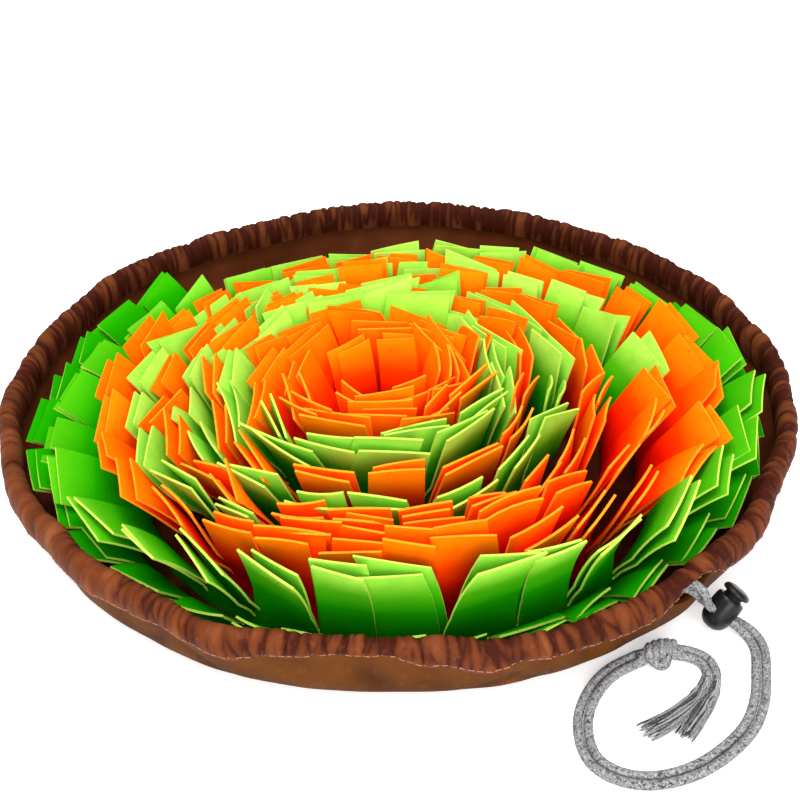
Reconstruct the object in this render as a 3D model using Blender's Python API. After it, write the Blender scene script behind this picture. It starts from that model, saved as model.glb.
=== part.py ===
"""Snuffle mat: a round cloth dish drawn up by a cord, filled with rings of cut felt tabs.

Metres, +Z up, the flat bottom on Z = 0 and the middle of the dish over the origin.
Right is +X, back is +Y, left is -X and front is -Y. The cord comes out at the front right.
"""
import math

import bmesh
import bpy
from mathutils import Matrix, Vector

MM = 0.001
GAP = 0.3 * MM                     # left between two pieces that touch

# ---- the dish: one disc of nylon, its edge drawn up into a low wall -------------------
CLOTH = 2.0 * MM
DISH_STEPS = 72                    # panels round the dish
DISH_PROFILE = (                   # outer side of the cloth: radius, height, share of gather
    (209.0 * MM, 0.0, 0.0),
    (218.0 * MM, 2.5 * MM, 0.15),
    (224.0 * MM, 9.0 * MM, 0.45),
    (227.6 * MM, 18.0 * MM, 0.80),
    (229.7 * MM, 29.0 * MM, 1.0),
)
GATHERS = (                        # small waves round the rim: count, depth, phase
    (10, 0.5 * MM, 1.9),
    (18, 0.9 * MM, 0.4),
)
RIM_SHAPE = (                      # azimuth (deg), radius of the rim, its rise above the mean (mm)
    (-180, 231.0, 0.0), (-166, 229.0, 0.0), (-150, 226.0, 1.0), (-142, 223.5, 3.0),
    (-132, 224.5, 3.0), (-122, 224.5, 4.0), (-112, 228.5, 4.0), (-104, 224.5, 4.0),
    (-95, 223.0, 4.5), (-86, 226.0, 4.0), (-78, 229.0, 2.5), (-70, 229.0, 0.0),
    (-62, 228.5, -1.5), (-56, 227.0, -0.6), (-48, 227.4, -0.8), (-42, 228.5, -0.5),
    (-30, 227.0, 0.0), (-15, 229.5, 0.0), (0, 230.5, 0.0), (18, 229.0, 0.0), (34, 226.5, 0.0),
    (50, 222.5, 0.5), (65, 223.0, 1.0), (80, 227.5, 0.0), (92, 229.5, 0.0), (104, 223.5, 1.0),
    (116, 223.0, 1.0), (128, 228.0, 0.0), (138, 232.0, 0.0), (148, 233.0, 0.0), (166, 231.0, 0.0),
)

# ---- the casing: a strip folded over the rim, the cord's tunnel ------------------------
RIM_RADIUS = 228.7 * MM            # the rim's usual radius, which the two profiles are drawn at
CASING_CLOTH = 1.6 * MM
CASING_PROFILE = (                 # out from the rim's middle, height
    (3.2 * MM, 23.0 * MM),
    (4.9 * MM, 27.0 * MM),
    (5.5 * MM, 33.0 * MM),
    (4.0 * MM, 40.5 * MM),
    (0.0, 44.0 * MM),
    (-4.0 * MM, 40.5 * MM),
    (-5.2 * MM, 33.0 * MM),
    (-4.2 * MM, 26.0 * MM),
)
MOUTH_AZIMUTH = math.radians(-51.0)                    # where the cord comes out
MOUTH_WIDTH = 22.0 * MM
MOUTH_DIP = 8.0 * MM               # the dish's edge dips here to let the cord out
DIP_SPREAD = 0.075                 # radians

# ---- the felt rings ---------------------------------------------------------------------
FELT = 2.4 * MM
SLIT = 2.4 * MM                    # between two tabs of a strip, at its foot
BAND_HEIGHT = 8.0 * MM             # uncut foot of a strip, sewn to the bottom
FLOOR_OF_DISH = CLOTH + GAP
PETAL_BEND = 0.55                  # where a long petal folds over, as a share of its length
RINGS = (
    # name, first azimuth and sweep of the ring (deg), arcs, tabs in an arc,
    # middle x, middle y, foot radius (mm), how far the tips lie outside the foot and how high
    # they stand at the right, back, left and front (mm), and the colour of each arc
    # anticlockwise, G green or O orange
    ("p", 135, 255, 4, 6, 1, -20, 175, (37, 38, 36, 9), (38, 40, 38, 20), "GGGG"),
    ("a", 0, 360, 6, 5, 5, -31, 157, (43, 4, 50, 5), (58, 57, 44, 66), "GGGGGG"),
    ("i", 0, 360, 6, 5, 4, -30, 139, (42, 9, 34, 8), (60, 57, 55, 66), "OOOOOO"),
    ("b", 0, 360, 6, 4, 1, -28, 122, (28, 15, 29, 15), (61, 58, 58, 65), "GGGGOO"),
    ("c", 0, 360, 6, 4, -2, -27, 107, (12, 19, 27, 21), (61, 59, 59, 64), "OOOOOO"),
    ("d", 0, 360, 6, 3, -5, -25, 92, (7, 22, 25, 28), (61, 60, 60, 63), "GGGGGG"),
    ("e", 0, 360, 5, 3, -8, -22, 77, (7, 24, 25, 25), (61, 60, 60, 64), "OOOOO"),
    ("f", 0, 360, 5, 2, -11, -18, 61, (9, 25, 25, 18), (62, 61, 61, 64), "GGGGG"),
    ("g", 0, 360, 4, 2, -11, -15, 45, (11, 20, 25, 13), (62, 62, 61, 65), "OOOO"),
    ("h", 0, 360, 3, 2, -9, -20, 28, (11, 9, 23, 9), (62, 63, 62, 65), "OOO"),
)
PETAL_RINGS = ("p", "a")

# ---- the drawcord, its lock, its knot and its frayed ends -------------------------------
CORD_RADIUS = 2.3 * MM
PAIR_HALF = CORD_RADIUS + 0.5 * GAP          # from the pair's middle to each cord's middle
CORD_STEP = 9.0 * MM
CORD_ROUTE = (                     # middle of the pair: x, y, z (mm), turn of the pair (deg)
    (126.2, -188.8, 35.4, 90),
    (131.7, -185.2, 35.4, 90),
    (137.3, -182.0, 35.0, 86),
    (142.2, -180.4, 32.8, 75),
    (146.6, -179.6, 28.4, 55),
    (149.6, -178.8, 23.4, 35),
    (152.4, -178.6, 18.5, 24),
    (155.9, -179.1, 15.65, 22),
    (159.4, -179.6, 12.8, 22),
    (162.9, -180.1, 9.95, 22),
    (166.8, -180.9, 7.0, 20),
    (171.6, -182.9, 4.4, 10),
    (175.6, -188.2, 2.7, 0),
    (176.6, -197.4, 2.7, 0),
    (173.8, -211.0, 2.7, 0),
    (168.6, -229.0, 2.7, 0),
    (159.4, -245.4, 2.7, 0),
    (143.6, -260.0, 2.7, 0),
    (126.8, -269.4, 2.7, 0),
    (109.6, -273.0, 2.7, 0),
    (95.0, -269.8, 2.7, 0),
    (85.2, -261.0, 2.7, 0),
    (82.2, -248.0, 2.7, 0),
    (84.0, -233.6, 2.7, 0),
    (91.0, -219.0, 2.7, 0),
    (101.6, -207.4, 2.8, 0),
    (116.2, -201.0, 5.0, 0),
)
LOCK_ROW = 8                       # the row of the route at the middle of the lock
KNOT_MIDDLE = (125.2, -199.6, 7.5)           # mm
KNOT_HALF_LENGTH = 7.6 * MM
KNOT_HEADING = math.radians(8.0)
KNOT_PROFILE = (                   # along the knot as a share of its half length, radius
    (-1.0, 5.3 * MM), (-0.72, 6.7 * MM), (-0.30, 6.0 * MM), (0.05, 7.0 * MM),
    (0.42, 6.1 * MM), (0.78, 6.6 * MM), (1.0, 5.2 * MM),
)
KNOT_SIDES = 14
KNOT_LOBE = 0.07                   # how far the wrapped cord bulges, as a share of the radius
TAIL_ROUTE = (                     # as the cord's route, with each end's girth as a share of the cord's
    (134.4, -198.2, 5.0, 0, 0.95),
    (140.2, -197.8, 3.2, 0, 0.95),
    (147.4, -201.8, 2.7, 0, 0.95),
    (149.6, -210.4, 2.7, 0, 0.95),
    (146.0, -220.4, 2.7, 0, 0.95),
    (140.2, -228.6, 2.7, 0, 0.95),
)
TAIL_ENDS = (                      # where each frayed end spreads: x, y, z (mm), girth
    ((130.6, -236.6, 3.4, 1.2), (122.6, -246.2, 4.2, 1.7), (112.0, -252.8, 4.4, 1.8)),
    ((139.2, -239.0, 3.4, 1.2), (135.6, -247.6, 4.2, 1.7), (130.4, -254.8, 4.4, 1.8)),
)

# ---- the cord lock: barrel and sprung button --------------------------------------------
BARREL_PROFILE = (                 # radius, height above the cord's hole, from the top down
    (6.9 * MM, 9.7 * MM), (7.6 * MM, 8.9 * MM), (8.0 * MM, 7.4 * MM), (8.0 * MM, -1.6 * MM),
    (7.4 * MM, -4.9 * MM), (5.6 * MM, -7.5 * MM), (2.9 * MM, -9.1 * MM),
)
BARREL_POLE = -9.5 * MM
LOCK_SIDES = 24
HOLE_WIDTH = 10.8 * MM
HOLE_HEIGHT = 5.9 * MM
BORE_RADIUS = 5.3 * MM
BORE_BOTTOM = 3.9 * MM
STEM_RADIUS = 4.9 * MM
STEM_BOTTOM = 6.4 * MM
BUTTON_PROFILE = (                 # radius, height above the cord's hole, from the top down
    (5.6 * MM, 15.9 * MM), (7.1 * MM, 15.1 * MM), (7.5 * MM, 13.9 * MM), (7.5 * MM, 12.8 * MM),
    (7.0 * MM, 12.0 * MM),
)
BUTTON_TOP = 16.2 * MM

COLOURS = {                        # base colour, roughness
    "shell_nylon": ((0.36, 0.17, 0.04), 0.45),
    "casing_nylon": ((0.30, 0.12, 0.07), 0.50),
    "green_felt": ((0.32, 0.75, 0.06), 0.95),
    "orange_felt": ((0.95, 0.26, 0.02), 0.95),
    "grey_cotton": ((0.48, 0.47, 0.47), 0.90),
    "black_plastic": ((0.012, 0.012, 0.013), 0.30),
}


def clear_scene():
    for item in list(bpy.data.objects):
        bpy.data.objects.remove(item, do_unlink=True)


def material(slot):
    if slot in bpy.data.materials:
        return bpy.data.materials[slot]
    colour, roughness = COLOURS[slot]
    made = bpy.data.materials.new(slot)
    made.use_nodes = True
    shader = made.node_tree.nodes["Principled BSDF"]
    shader.inputs["Base Color"].default_value = (*colour, 1.0)
    shader.inputs["Roughness"].default_value = roughness
    shader.inputs["Metallic"].default_value = 0.0
    return made


def add_object(name, data, slot):
    made = bpy.data.objects.new(name, data)
    bpy.context.collection.objects.link(made)
    data.materials.append(material(slot))
    return made


def mesh_object(name, points, faces, slot):
    mesh = bpy.data.meshes.new(name)
    mesh.from_pydata(points, [], faces)
    mesh.update()
    return add_object(name, mesh, slot)


def thicken(made, thickness, offset):
    solid = made.modifiers.new("thickness", "SOLIDIFY")
    solid.thickness = thickness
    solid.offset = offset
    solid.use_even_offset = True


def rim_at(azimuth):
    """The rim's radius and its rise at an azimuth, gathers included."""
    degrees = (math.degrees(azimuth) + 180.0) % 360.0 - 180.0
    rows = [*RIM_SHAPE, (RIM_SHAPE[0][0] + 360.0, *RIM_SHAPE[0][1:])]
    low, high = next(pair for pair in zip(rows, rows[1:]) if degrees <= pair[1][0])
    share = (degrees - low[0]) / (high[0] - low[0])
    ease = 0.5 - 0.5 * math.cos(math.pi * share)
    radius, rise = (MM * (a + (b - a) * ease) for a, b in zip(low[1:], high[1:]))
    gathers = sum(depth * math.sin(count * azimuth + phase) for count, depth, phase in GATHERS)
    return radius + gathers, rise


# ---- dish and casing ----------------------------------------------------------------------
def build_dish():
    points = [(0.0, 0.0, 0.0)]
    for radius, height, share in DISH_PROFILE:
        for step in range(DISH_STEPS):
            azimuth = 2.0 * math.pi * step / DISH_STEPS
            rim, rise = rim_at(azimuth)
            r = radius + share * (rim - RIM_RADIUS)
            away = (azimuth - MOUTH_AZIMUTH + math.pi) % (2.0 * math.pi) - math.pi
            dip = MOUTH_DIP * math.exp(-(away / DIP_SPREAD) ** 2)
            z = height + share * (rise - dip)
            points.append((r * math.cos(azimuth), r * math.sin(azimuth), z))
    faces = []
    for step in range(DISH_STEPS):
        after = (step + 1) % DISH_STEPS
        faces.append((0, 1 + after, 1 + step))
        for row in range(len(DISH_PROFILE) - 1):
            low = 1 + row * DISH_STEPS
            high = low + DISH_STEPS
            faces.append((low + step, low + after, high + after, high + step))
    dish = mesh_object("dish_shell", points, faces, "shell_nylon")
    thicken(dish, CLOTH, -1.0)


def build_casing():
    """The folded strip, open at the mouth and along its lower edge."""
    half_mouth = 0.5 * MOUTH_WIDTH / RIM_RADIUS
    sweep = 2.0 * (math.pi - half_mouth)
    points = []
    for step in range(DISH_STEPS):
        azimuth = MOUTH_AZIMUTH + half_mouth + sweep * step / (DISH_STEPS - 1)
        rim, rise = rim_at(azimuth)
        for out, height in CASING_PROFILE:
            r = rim + out
            points.append((r * math.cos(azimuth), r * math.sin(azimuth), height + rise))
    width = len(CASING_PROFILE)
    faces = []
    for step in range(DISH_STEPS - 1):
        for row in range(width - 1):
            here = step * width + row
            faces.append((here, here + width, here + width + 1, here + 1))
    casing = mesh_object("rim_casing", points, faces, "casing_nylon")
    thicken(casing, CASING_CLOTH, 0.0)


# ---- felt rings -----------------------------------------------------------------------------
def blended(azimuth, sides):
    """A length that is given at the right, back, left and front, at an azimuth between them."""
    right, back, left, front = sides
    x, y = math.cos(azimuth), math.sin(azimuth)
    side = right if x > 0.0 else left
    end = back if y > 0.0 else front
    return (side * x * x + end * y * y) * MM


def tab_spine(reach, rise, bends):
    """Outward and upward places of one tab's folds and tip above its uncut foot."""
    if not bends:
        return [(reach, rise)]
    free, lean = math.hypot(reach, rise), math.atan2(reach, rise)
    lower, upper = lean - 0.16, lean + 0.20
    first = PETAL_BEND * free
    rest = free - first
    knee = (first * math.sin(lower), first * math.cos(lower))
    return [knee, (knee[0] + rest * math.sin(upper), knee[1] + rest * math.cos(upper))]


def build_fringe(ring):
    name, start_deg, sweep_deg, arcs, tabs, mid_x, mid_y, foot, reaches, heights, colours = ring
    middle = Vector((mid_x * MM, mid_y * MM, FLOOR_OF_DISH))
    pitch = math.radians(sweep_deg) / (arcs * tabs)
    width = pitch * foot * MM - SLIT
    for arc in range(arcs):
        points, faces = [], []
        last_foot = None
        for tab in range(tabs):
            azimuth = math.radians(start_deg) + (arc * tabs + tab + 0.5) * pitch
            out = Vector((math.cos(azimuth), math.sin(azimuth), 0.0))
            along = Vector((-out.y, out.x, 0.0))
            rise = blended(azimuth, heights) - FLOOR_OF_DISH - BAND_HEIGHT
            spine = [(0.0, -BAND_HEIGHT), (0.0, 0.0)]
            spine += tab_spine(blended(azimuth, reaches), rise, name in PETAL_RINGS)
            base = middle + out * foot * MM + Vector((0.0, 0.0, BAND_HEIGHT))
            start = len(points)
            for outward, upward in spine:
                row = base + out * outward + Vector((0.0, 0.0, upward))
                points.append(row - along * 0.5 * width)
                points.append(row + along * 0.5 * width)
            for row in range(len(spine) - 1):
                low = start + 2 * row
                faces.append((low, low + 1, low + 3, low + 2))
            if last_foot is not None:
                faces.append((last_foot + 1, start, start + 2, last_foot + 3))
            last_foot = start
        slot = "green_felt" if colours[arc] == "G" else "orange_felt"
        strip = mesh_object(f"fringe_{name}{arc + 1}", points, faces, slot)
        thicken(strip, FELT, 0.0)


# ---- cord -------------------------------------------------------------------------------------
def smooth(rows, step):
    """A smooth curve through the rows, read at even steps; each row may carry extra values."""
    padded = [rows[0], *rows, rows[-1]]
    fine = []
    for index in range(1, len(padded) - 2):
        before, here, after, beyond = padded[index - 1:index + 3]
        for part in range(12):
            t = part / 12.0
            fine.append([0.5 * (2.0 * b + (c - a) * t + (2.0 * a - 5.0 * b + 4.0 * c - d) * t * t
                                + (3.0 * b - a - 3.0 * c + d) * t ** 3)
                         for a, b, c, d in zip(before, here, after, beyond)])
    fine.append([float(value) for value in rows[-1]])
    lengths = [0.0]
    for low, high in zip(fine, fine[1:]):
        lengths.append(lengths[-1] + math.dist(low[:3], high[:3]))
    count = max(2, round(lengths[-1] / step))
    read, place = [], 0
    for number in range(count + 1):
        target = lengths[-1] * number / count
        while place < len(lengths) - 2 and lengths[place + 1] < target:
            place += 1
        share = (target - lengths[place]) / max(lengths[place + 1] - lengths[place], 1e-9)
        read.append([low + (high - low) * share for low, high in zip(fine[place], fine[place + 1])])
    return read


def pair_points(rows, side):
    """One cord of the pair that runs along the rows; side is +1 or -1."""
    points = []
    for index, row in enumerate(rows):
        before = rows[max(index - 1, 0)]
        after = rows[min(index + 1, len(rows) - 1)]
        ahead = (Vector(after[:3]) - Vector(before[:3])).normalized()
        level = ahead.cross(Vector((0.0, 0.0, 1.0))).normalized()
        upward = level.cross(ahead)
        turn = math.radians(row[3])
        offset = level * math.cos(turn) + upward * math.sin(turn)
        points.append(Vector(row[:3]) * MM + offset * side * PAIR_HALF)
    return points


def cord_object(name, points, swells=None):
    data = bpy.data.curves.new(name, "CURVE")
    data.dimensions = "3D"
    data.bevel_depth = CORD_RADIUS
    data.bevel_resolution = 2
    data.render_resolution_u = 0
    data.use_fill_caps = True
    spline = data.splines.new("POLY")
    spline.points.add(len(points) - 1)
    for index, point in enumerate(points):
        spline.points[index].co = (*point, 1.0)
        spline.points[index].radius = swells[index] if swells else 1.0
    return add_object(name, data, "grey_cotton")


def build_cords():
    rows = smooth(CORD_ROUTE, CORD_STEP / MM)
    for name, side in (("cord_a", 1.0), ("cord_b", -1.0)):
        cord_object(name, pair_points(rows, side))


def build_tails():
    for name, side, ends in (("cord_tail_a", 1.0, TAIL_ENDS[0]), ("cord_tail_b", -1.0, TAIL_ENDS[1])):
        start = pair_points([list(row) for row in TAIL_ROUTE], side)
        rows = [(*(point / MM), row[4]) for point, row in zip(start, TAIL_ROUTE)]
        rows = smooth(rows + list(ends), CORD_STEP / MM * 0.7)
        cord_object(name, [Vector(row[:3]) * MM for row in rows], [row[3] for row in rows])


def lathe(name, profile, slot, top=None, bottom=None, sides=LOCK_SIDES):
    """A closed turned piece about its own Z, from a profile that runs from the top down."""
    points, faces = [], []
    for radius, height in profile:
        for step in range(sides):
            azimuth = 2.0 * math.pi * step / sides
            points.append((radius * math.cos(azimuth), radius * math.sin(azimuth), height))
    for row in range(len(profile) - 1):
        for step in range(sides):
            after = (step + 1) % sides
            low = (row + 1) * sides
            high = row * sides
            faces.append((low + step, low + after, high + after, high + step))
    last = (len(profile) - 1) * sides
    for pole, ring, turn in ((top, 0, 1), (bottom, last, -1)):
        rim = [ring + step for step in range(sides)][::turn]
        if pole is None:
            faces.append(tuple(rim))
            continue
        points.append((0.0, 0.0, pole))
        for step in range(sides):
            faces.append((rim[step], rim[(step + 1) % sides], len(points) - 1))
    return mesh_object(name, points, faces, slot)


def build_knot():
    profile = [(radius, -share * KNOT_HALF_LENGTH) for share, radius in KNOT_PROFILE]
    knot = lathe("cord_knot", profile, "grey_cotton", sides=KNOT_SIDES)
    for vertex in knot.data.vertices:
        place = vertex.co
        around = math.atan2(place.y, place.x) + place.z / KNOT_HALF_LENGTH
        bulge = 1.0 + KNOT_LOBE * math.sin(2.0 * around)
        if abs(place.z) < 0.99 * KNOT_HALF_LENGTH:
            place.x *= bulge
            place.y *= bulge
    heading = Matrix.Rotation(KNOT_HEADING, 4, "Z") @ Matrix.Rotation(-0.5 * math.pi, 4, "Y")
    knot.matrix_world = Matrix.Translation(Vector(KNOT_MIDDLE) * MM) @ heading


# ---- lock ---------------------------------------------------------------------------------------
def lock_frame():
    """The lock's place: its X runs along the cords, its Z from the dome to the button."""
    before, here, after = (Vector(CORD_ROUTE[LOCK_ROW + shift][:3]) for shift in (-1, 0, 1))
    ahead = (after - before).normalized()
    level = ahead.cross(Vector((0.0, 0.0, 1.0))).normalized()
    upward = level.cross(ahead)
    turn = math.radians(CORD_ROUTE[LOCK_ROW][3])
    axis = upward * math.cos(turn) - level * math.sin(turn)
    across = axis.cross(ahead)
    frame = Matrix((ahead, across, axis)).transposed().to_4x4()
    return Matrix.Translation(here * MM) @ frame


def cut(target, cutter):
    cutter.hide_render = True
    cutter.display_type = "WIRE"
    boolean = target.modifiers.new(cutter.name, "BOOLEAN")
    boolean.operation = "DIFFERENCE"
    boolean.solver = "EXACT"
    boolean.object = cutter


def hole_cutter():
    """A flat-sided hole with round ends, wide enough for two cords, along X."""
    reach = 12.0 * MM
    bend = 0.5 * HOLE_HEIGHT
    straight = 0.5 * HOLE_WIDTH - bend
    outline = []
    for side in (1.0, -1.0):
        for step in range(7):
            angle = math.radians(90.0 - 30.0 * step) if side > 0 else math.radians(-90.0 - 30.0 * step)
            outline.append((side * straight + bend * math.cos(angle), bend * math.sin(angle)))
    points = [(end * reach, y, z) for end in (-1.0, 1.0) for y, z in outline]
    count = len(outline)
    faces = [tuple(range(count)), tuple(range(2 * count - 1, count - 1, -1))]
    for step in range(count):
        after = (step + 1) % count
        faces.append((step, count + step, count + after, after))
    return mesh_object("hole_cutter", points, faces, "black_plastic")


def orient_outward(made):
    """Recalculates a closed mesh's normals to point out."""
    work = bmesh.new()
    work.from_mesh(made.data)
    bmesh.ops.recalc_face_normals(work, faces=work.faces)
    work.to_mesh(made.data)
    work.free()


def build_lock():
    frame = lock_frame()
    barrel = lathe("lock_barrel", BARREL_PROFILE, "black_plastic", bottom=BARREL_POLE)
    bore = lathe("bore_cutter", ((BORE_RADIUS, 14.0 * MM), (BORE_RADIUS, BORE_BOTTOM)), "black_plastic")
    hole = hole_cutter()
    stem = ((STEM_RADIUS, BUTTON_PROFILE[-1][1]), (STEM_RADIUS, STEM_BOTTOM))
    button = lathe("lock_button", BUTTON_PROFILE + stem, "black_plastic", top=BUTTON_TOP)
    for piece in (barrel, bore, hole, button):
        orient_outward(piece)
        piece.matrix_world = frame
    cut(barrel, bore)
    cut(barrel, hole)


def shade_round(names):
    for name in names:
        made = bpy.data.objects[name]
        made.data.shade_smooth()
        made.data.set_sharp_from_angle(angle=math.radians(40.0))


def main():
    clear_scene()
    build_dish()
    build_casing()
    for ring in RINGS:
        build_fringe(ring)
    build_cords()
    build_knot()
    build_tails()
    build_lock()
    shade_round(("dish_shell", "rim_casing", "cord_knot", "lock_barrel", "lock_button"))


main()
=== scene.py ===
"""The looks of a snuffle mat: a gathered nylon dish, a puckered casing round its rim, rings of
cut felt tabs in green and orange, and a braided drawcord with its lock, knot and frayed ends.

Metres, +Z up, the mat's middle over the origin, right +X, back +Y. Tables are in millimetres.
"""

import math
import random

import bmesh
import bpy
import numpy as np
from mathutils import Matrix, Vector


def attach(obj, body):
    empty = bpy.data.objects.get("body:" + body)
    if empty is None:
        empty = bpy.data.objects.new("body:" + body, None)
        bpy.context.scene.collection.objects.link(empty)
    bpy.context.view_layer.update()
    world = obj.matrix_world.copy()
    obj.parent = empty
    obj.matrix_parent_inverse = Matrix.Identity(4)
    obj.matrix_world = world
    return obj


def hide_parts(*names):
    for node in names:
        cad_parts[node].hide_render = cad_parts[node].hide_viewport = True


MM = 0.001
TURN = 2.0 * math.pi
CURVE_PARTS = 12                     # pieces that a smooth curve has between two of its rows

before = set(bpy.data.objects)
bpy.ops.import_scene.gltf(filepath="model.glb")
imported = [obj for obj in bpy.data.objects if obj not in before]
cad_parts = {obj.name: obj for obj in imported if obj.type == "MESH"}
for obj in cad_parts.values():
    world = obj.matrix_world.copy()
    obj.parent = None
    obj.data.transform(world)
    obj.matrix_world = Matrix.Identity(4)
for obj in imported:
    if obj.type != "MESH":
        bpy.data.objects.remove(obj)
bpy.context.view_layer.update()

# ---- camera ----------------------------------------------------------------------------------
CAMERA_PLACE = (0.002209, -0.642455, 0.479271)
CAMERA_PITCH = 0.6169                # radians below the level
CAMERA_ROLL = -0.0358
CAMERA_LENS = 57.8                   # mm
SENSOR_WIDTH = 36.0                  # mm

# ---- floor and lights ------------------------------------------------------------------------
FLOOR_HALF = 4.0
SURROUND = 0.62                      # strength of the even white light all round
SOFTBOXES = (                        # name, place (m), side (m), power (W)
    ("top_softbox", (-0.15, -0.30, 1.7), 1.1, 32.0),
    ("front_softbox", (0.3, -1.7, 0.8), 1.2, 30.0),
)

# ---- the drawcord: the same route as the solids, in millimetres ------------------------------
CORD_RADIUS = 2.3 * MM
PAIR_HALF = 2.45 * MM                # from the middle of the pair to each cord
CORD_ROUTE = (                       # middle of the pair: x, y, z, turn of the pair in degrees
    (126.2, -188.8, 35.4, 90), (131.7, -185.2, 35.4, 90), (137.3, -182.0, 35.0, 86),
    (142.2, -180.4, 32.8, 75), (146.6, -179.6, 28.4, 55), (149.6, -178.8, 23.4, 35),
    (152.4, -178.6, 18.5, 24), (155.9, -179.1, 15.65, 22), (159.4, -179.6, 12.8, 22),
    (162.9, -180.1, 9.95, 22), (166.8, -180.9, 7.0, 20), (171.6, -182.9, 4.4, 10),
    (175.6, -188.2, 2.7, 0), (176.6, -197.4, 2.7, 0), (173.8, -211.0, 2.7, 0),
    (168.6, -229.0, 2.7, 0), (159.4, -245.4, 2.7, 0), (143.6, -260.0, 2.7, 0),
    (126.8, -269.4, 2.7, 0), (109.6, -273.0, 2.7, 0), (95.0, -269.8, 2.7, 0),
    (85.2, -261.0, 2.7, 0), (82.2, -248.0, 2.7, 0), (84.0, -233.6, 2.7, 0),
    (91.0, -219.0, 2.7, 0), (101.6, -207.4, 2.8, 0), (116.2, -201.0, 5.0, 0),
)
ROUTE_STEP = 4.5                     # between the points of each cord's path
LOCK_ROW = 8                         # the row of the route that lies in the lock
TAIL_ROUTE = (                       # both ends past the knot, as long as they stay braided
    (134.4, -198.2, 5.0, 0), (140.2, -197.8, 3.2, 0), (147.4, -201.8, 2.7, 0),
    (149.6, -210.4, 2.7, 0), (146.0, -220.4, 2.7, 0), (140.2, -228.6, 2.7, 0),
)
TAIL_ENDS = (                        # where each end's yarns spread to: x, y, z
    ((129.6, -235.4, 3.6), (119.6, -242.2, 4.2), (108.0, -247.6, 3.8)),
    ((139.0, -235.0, 3.6), (132.6, -243.4, 4.2), (126.4, -250.4, 3.8)),
)
FRAY_START = 0.66                    # share of each end's route where its braid has come open
BRAID_STRANDS = 10                   # strands that wind each way round the cord
BRAID_PITCH = 12.0 * MM              # length of one turn of a strand
BRAID_DEPTH = 0.50 * MM
BRAID_FULLNESS = 1.25                # how far the strands rise, in depths
BRAID_STEP = 0.50 * MM
BRAID_AROUND = 44
FLECK_COUNT = 997                    # tones that the braid's flecks are picked from
FLECK_KEYS = (7919, 104729)          # primes that scatter those tones over the strands

KNOT_MIDDLE = (125.2, -199.6, 7.5)
KNOT_HEADING = math.radians(8.0)
CORD_INTO_KNOT = 0.45                # share of the way to the knot's middle that a cord goes in
TAIL_INTO_KNOT = 0.40
WRAPS = 4.2                          # turns of cord round the knot
WRAP_START = 0.6                     # rad
WRAP_STEPS = 120
WRAPS_HALF = 6.6                     # half the length of the row of wraps
WRAPS_SHIFT = 1.2
WRAP_LEAN = 1.5
WRAP_WIDE = 4.6
WRAP_HIGH = 4.0
WRAP_TAPER = 0.28                    # how much smaller the wraps are at both ends
WRAP_RADIUS = 0.82 * CORD_RADIUS
KNOT_LOBE = (                        # the end of the loop, which bulges out below: ahead, left, up
    (-5.4, 2.0, 1.0), (-5.6, -3.0, 0.4), (-3.0, -6.6, -1.4), (0.0, -7.6, -2.2), (2.2, -6.0, -1.6),
    (3.6, -2.0, 0.2),
)
LOBE_RADIUS = 1.02 * CORD_RADIUS
KNOT_CORE = (                        # both cords through the wraps: ahead, left, up
    (-10.0, -0.4, -2.6), (-5.0, 0.0, -0.8), (0.0, 0.0, 0.0), (5.0, 0.2, -0.4), (11.0, 0.6, -3.0),
)
CORE_RADIUS = 3.4 * MM

TAIL_RADIUS = 0.97 * CORD_RADIUS
TAIL_STEP = 3.0
YARNS = 110                          # loose yarns in each frayed end
YARN_SIDES = 5
YARN_STEP = 1.8 * MM
YARN_ROOT = 1.9 * MM                 # how far from the braid's middle the yarns begin
YARN_SPREAD = (2.2, 3.0)             # half width of the bunch at its start, and its growth (mm)
YARN_WANDER = (0.35, 0.45)           # how far a yarn strays at its start, and its growth (mm)
BUNCH_FLATNESS = 0.62                # height of the bunch over its width
YARN_FLOOR = 0.5 * MM
YARN_TONES = (0.09, 0.4, 0.6, 0.9)
YARN_TIP = 0.35                      # a yarn's radius at its tip, over its radius

# ---- dish and casing -------------------------------------------------------------------------
DISH_CLOTH = 2.0 * MM
DISH_STEPS = 540                     # round the dish
BOTTOM_RADII = (0.0, 200.0, 9)       # rings of the flat bottom: first, last, how many
PROFILE_STEP = 1.5
DISH_PROFILE = (                     # outer side: radius, height, share of the gathers
    (206.0, 0.0, 0.0), (212.0, 0.5, 0.05), (218.0, 2.5, 0.15), (221.6, 5.4, 0.3),
    (224.0, 9.0, 0.45), (226.0, 13.4, 0.65), (227.6, 18.0, 0.8), (229.0, 24.0, 0.92),
    (229.7, 29.0, 1.0),
)
GATHERS = ((10, 0.5, 1.9), (18, 0.9, 0.4))           # waves round the rim: count, depth, phase
RIM_RADIUS = 228.7                   # the rim's usual radius, which the two profiles are drawn at
RIM_SHAPE = (                        # azimuth (deg), radius of the rim, its rise above the mean
    (-180, 231.0, 0.0), (-166, 229.0, 0.0), (-150, 226.0, 1.0), (-142, 223.5, 3.0),
    (-132, 224.5, 3.0), (-122, 224.5, 4.0), (-112, 228.5, 4.0), (-104, 224.5, 4.0),
    (-95, 223.0, 4.5), (-86, 226.0, 4.0), (-78, 229.0, 2.5), (-70, 229.0, 0.0),
    (-62, 228.5, -1.5), (-56, 227.0, -0.6), (-48, 227.4, -0.8), (-42, 228.5, -0.5),
    (-30, 227.0, 0.0), (-15, 229.5, 0.0), (0, 230.5, 0.0), (18, 229.0, 0.0), (34, 226.5, 0.0),
    (50, 222.5, 0.5), (65, 223.0, 1.0), (80, 227.5, 0.0), (92, 229.5, 0.0), (104, 223.5, 1.0),
    (116, 223.0, 1.0), (128, 228.0, 0.0), (138, 232.0, 0.0), (148, 233.0, 0.0), (166, 231.0, 0.0),
)
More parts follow.
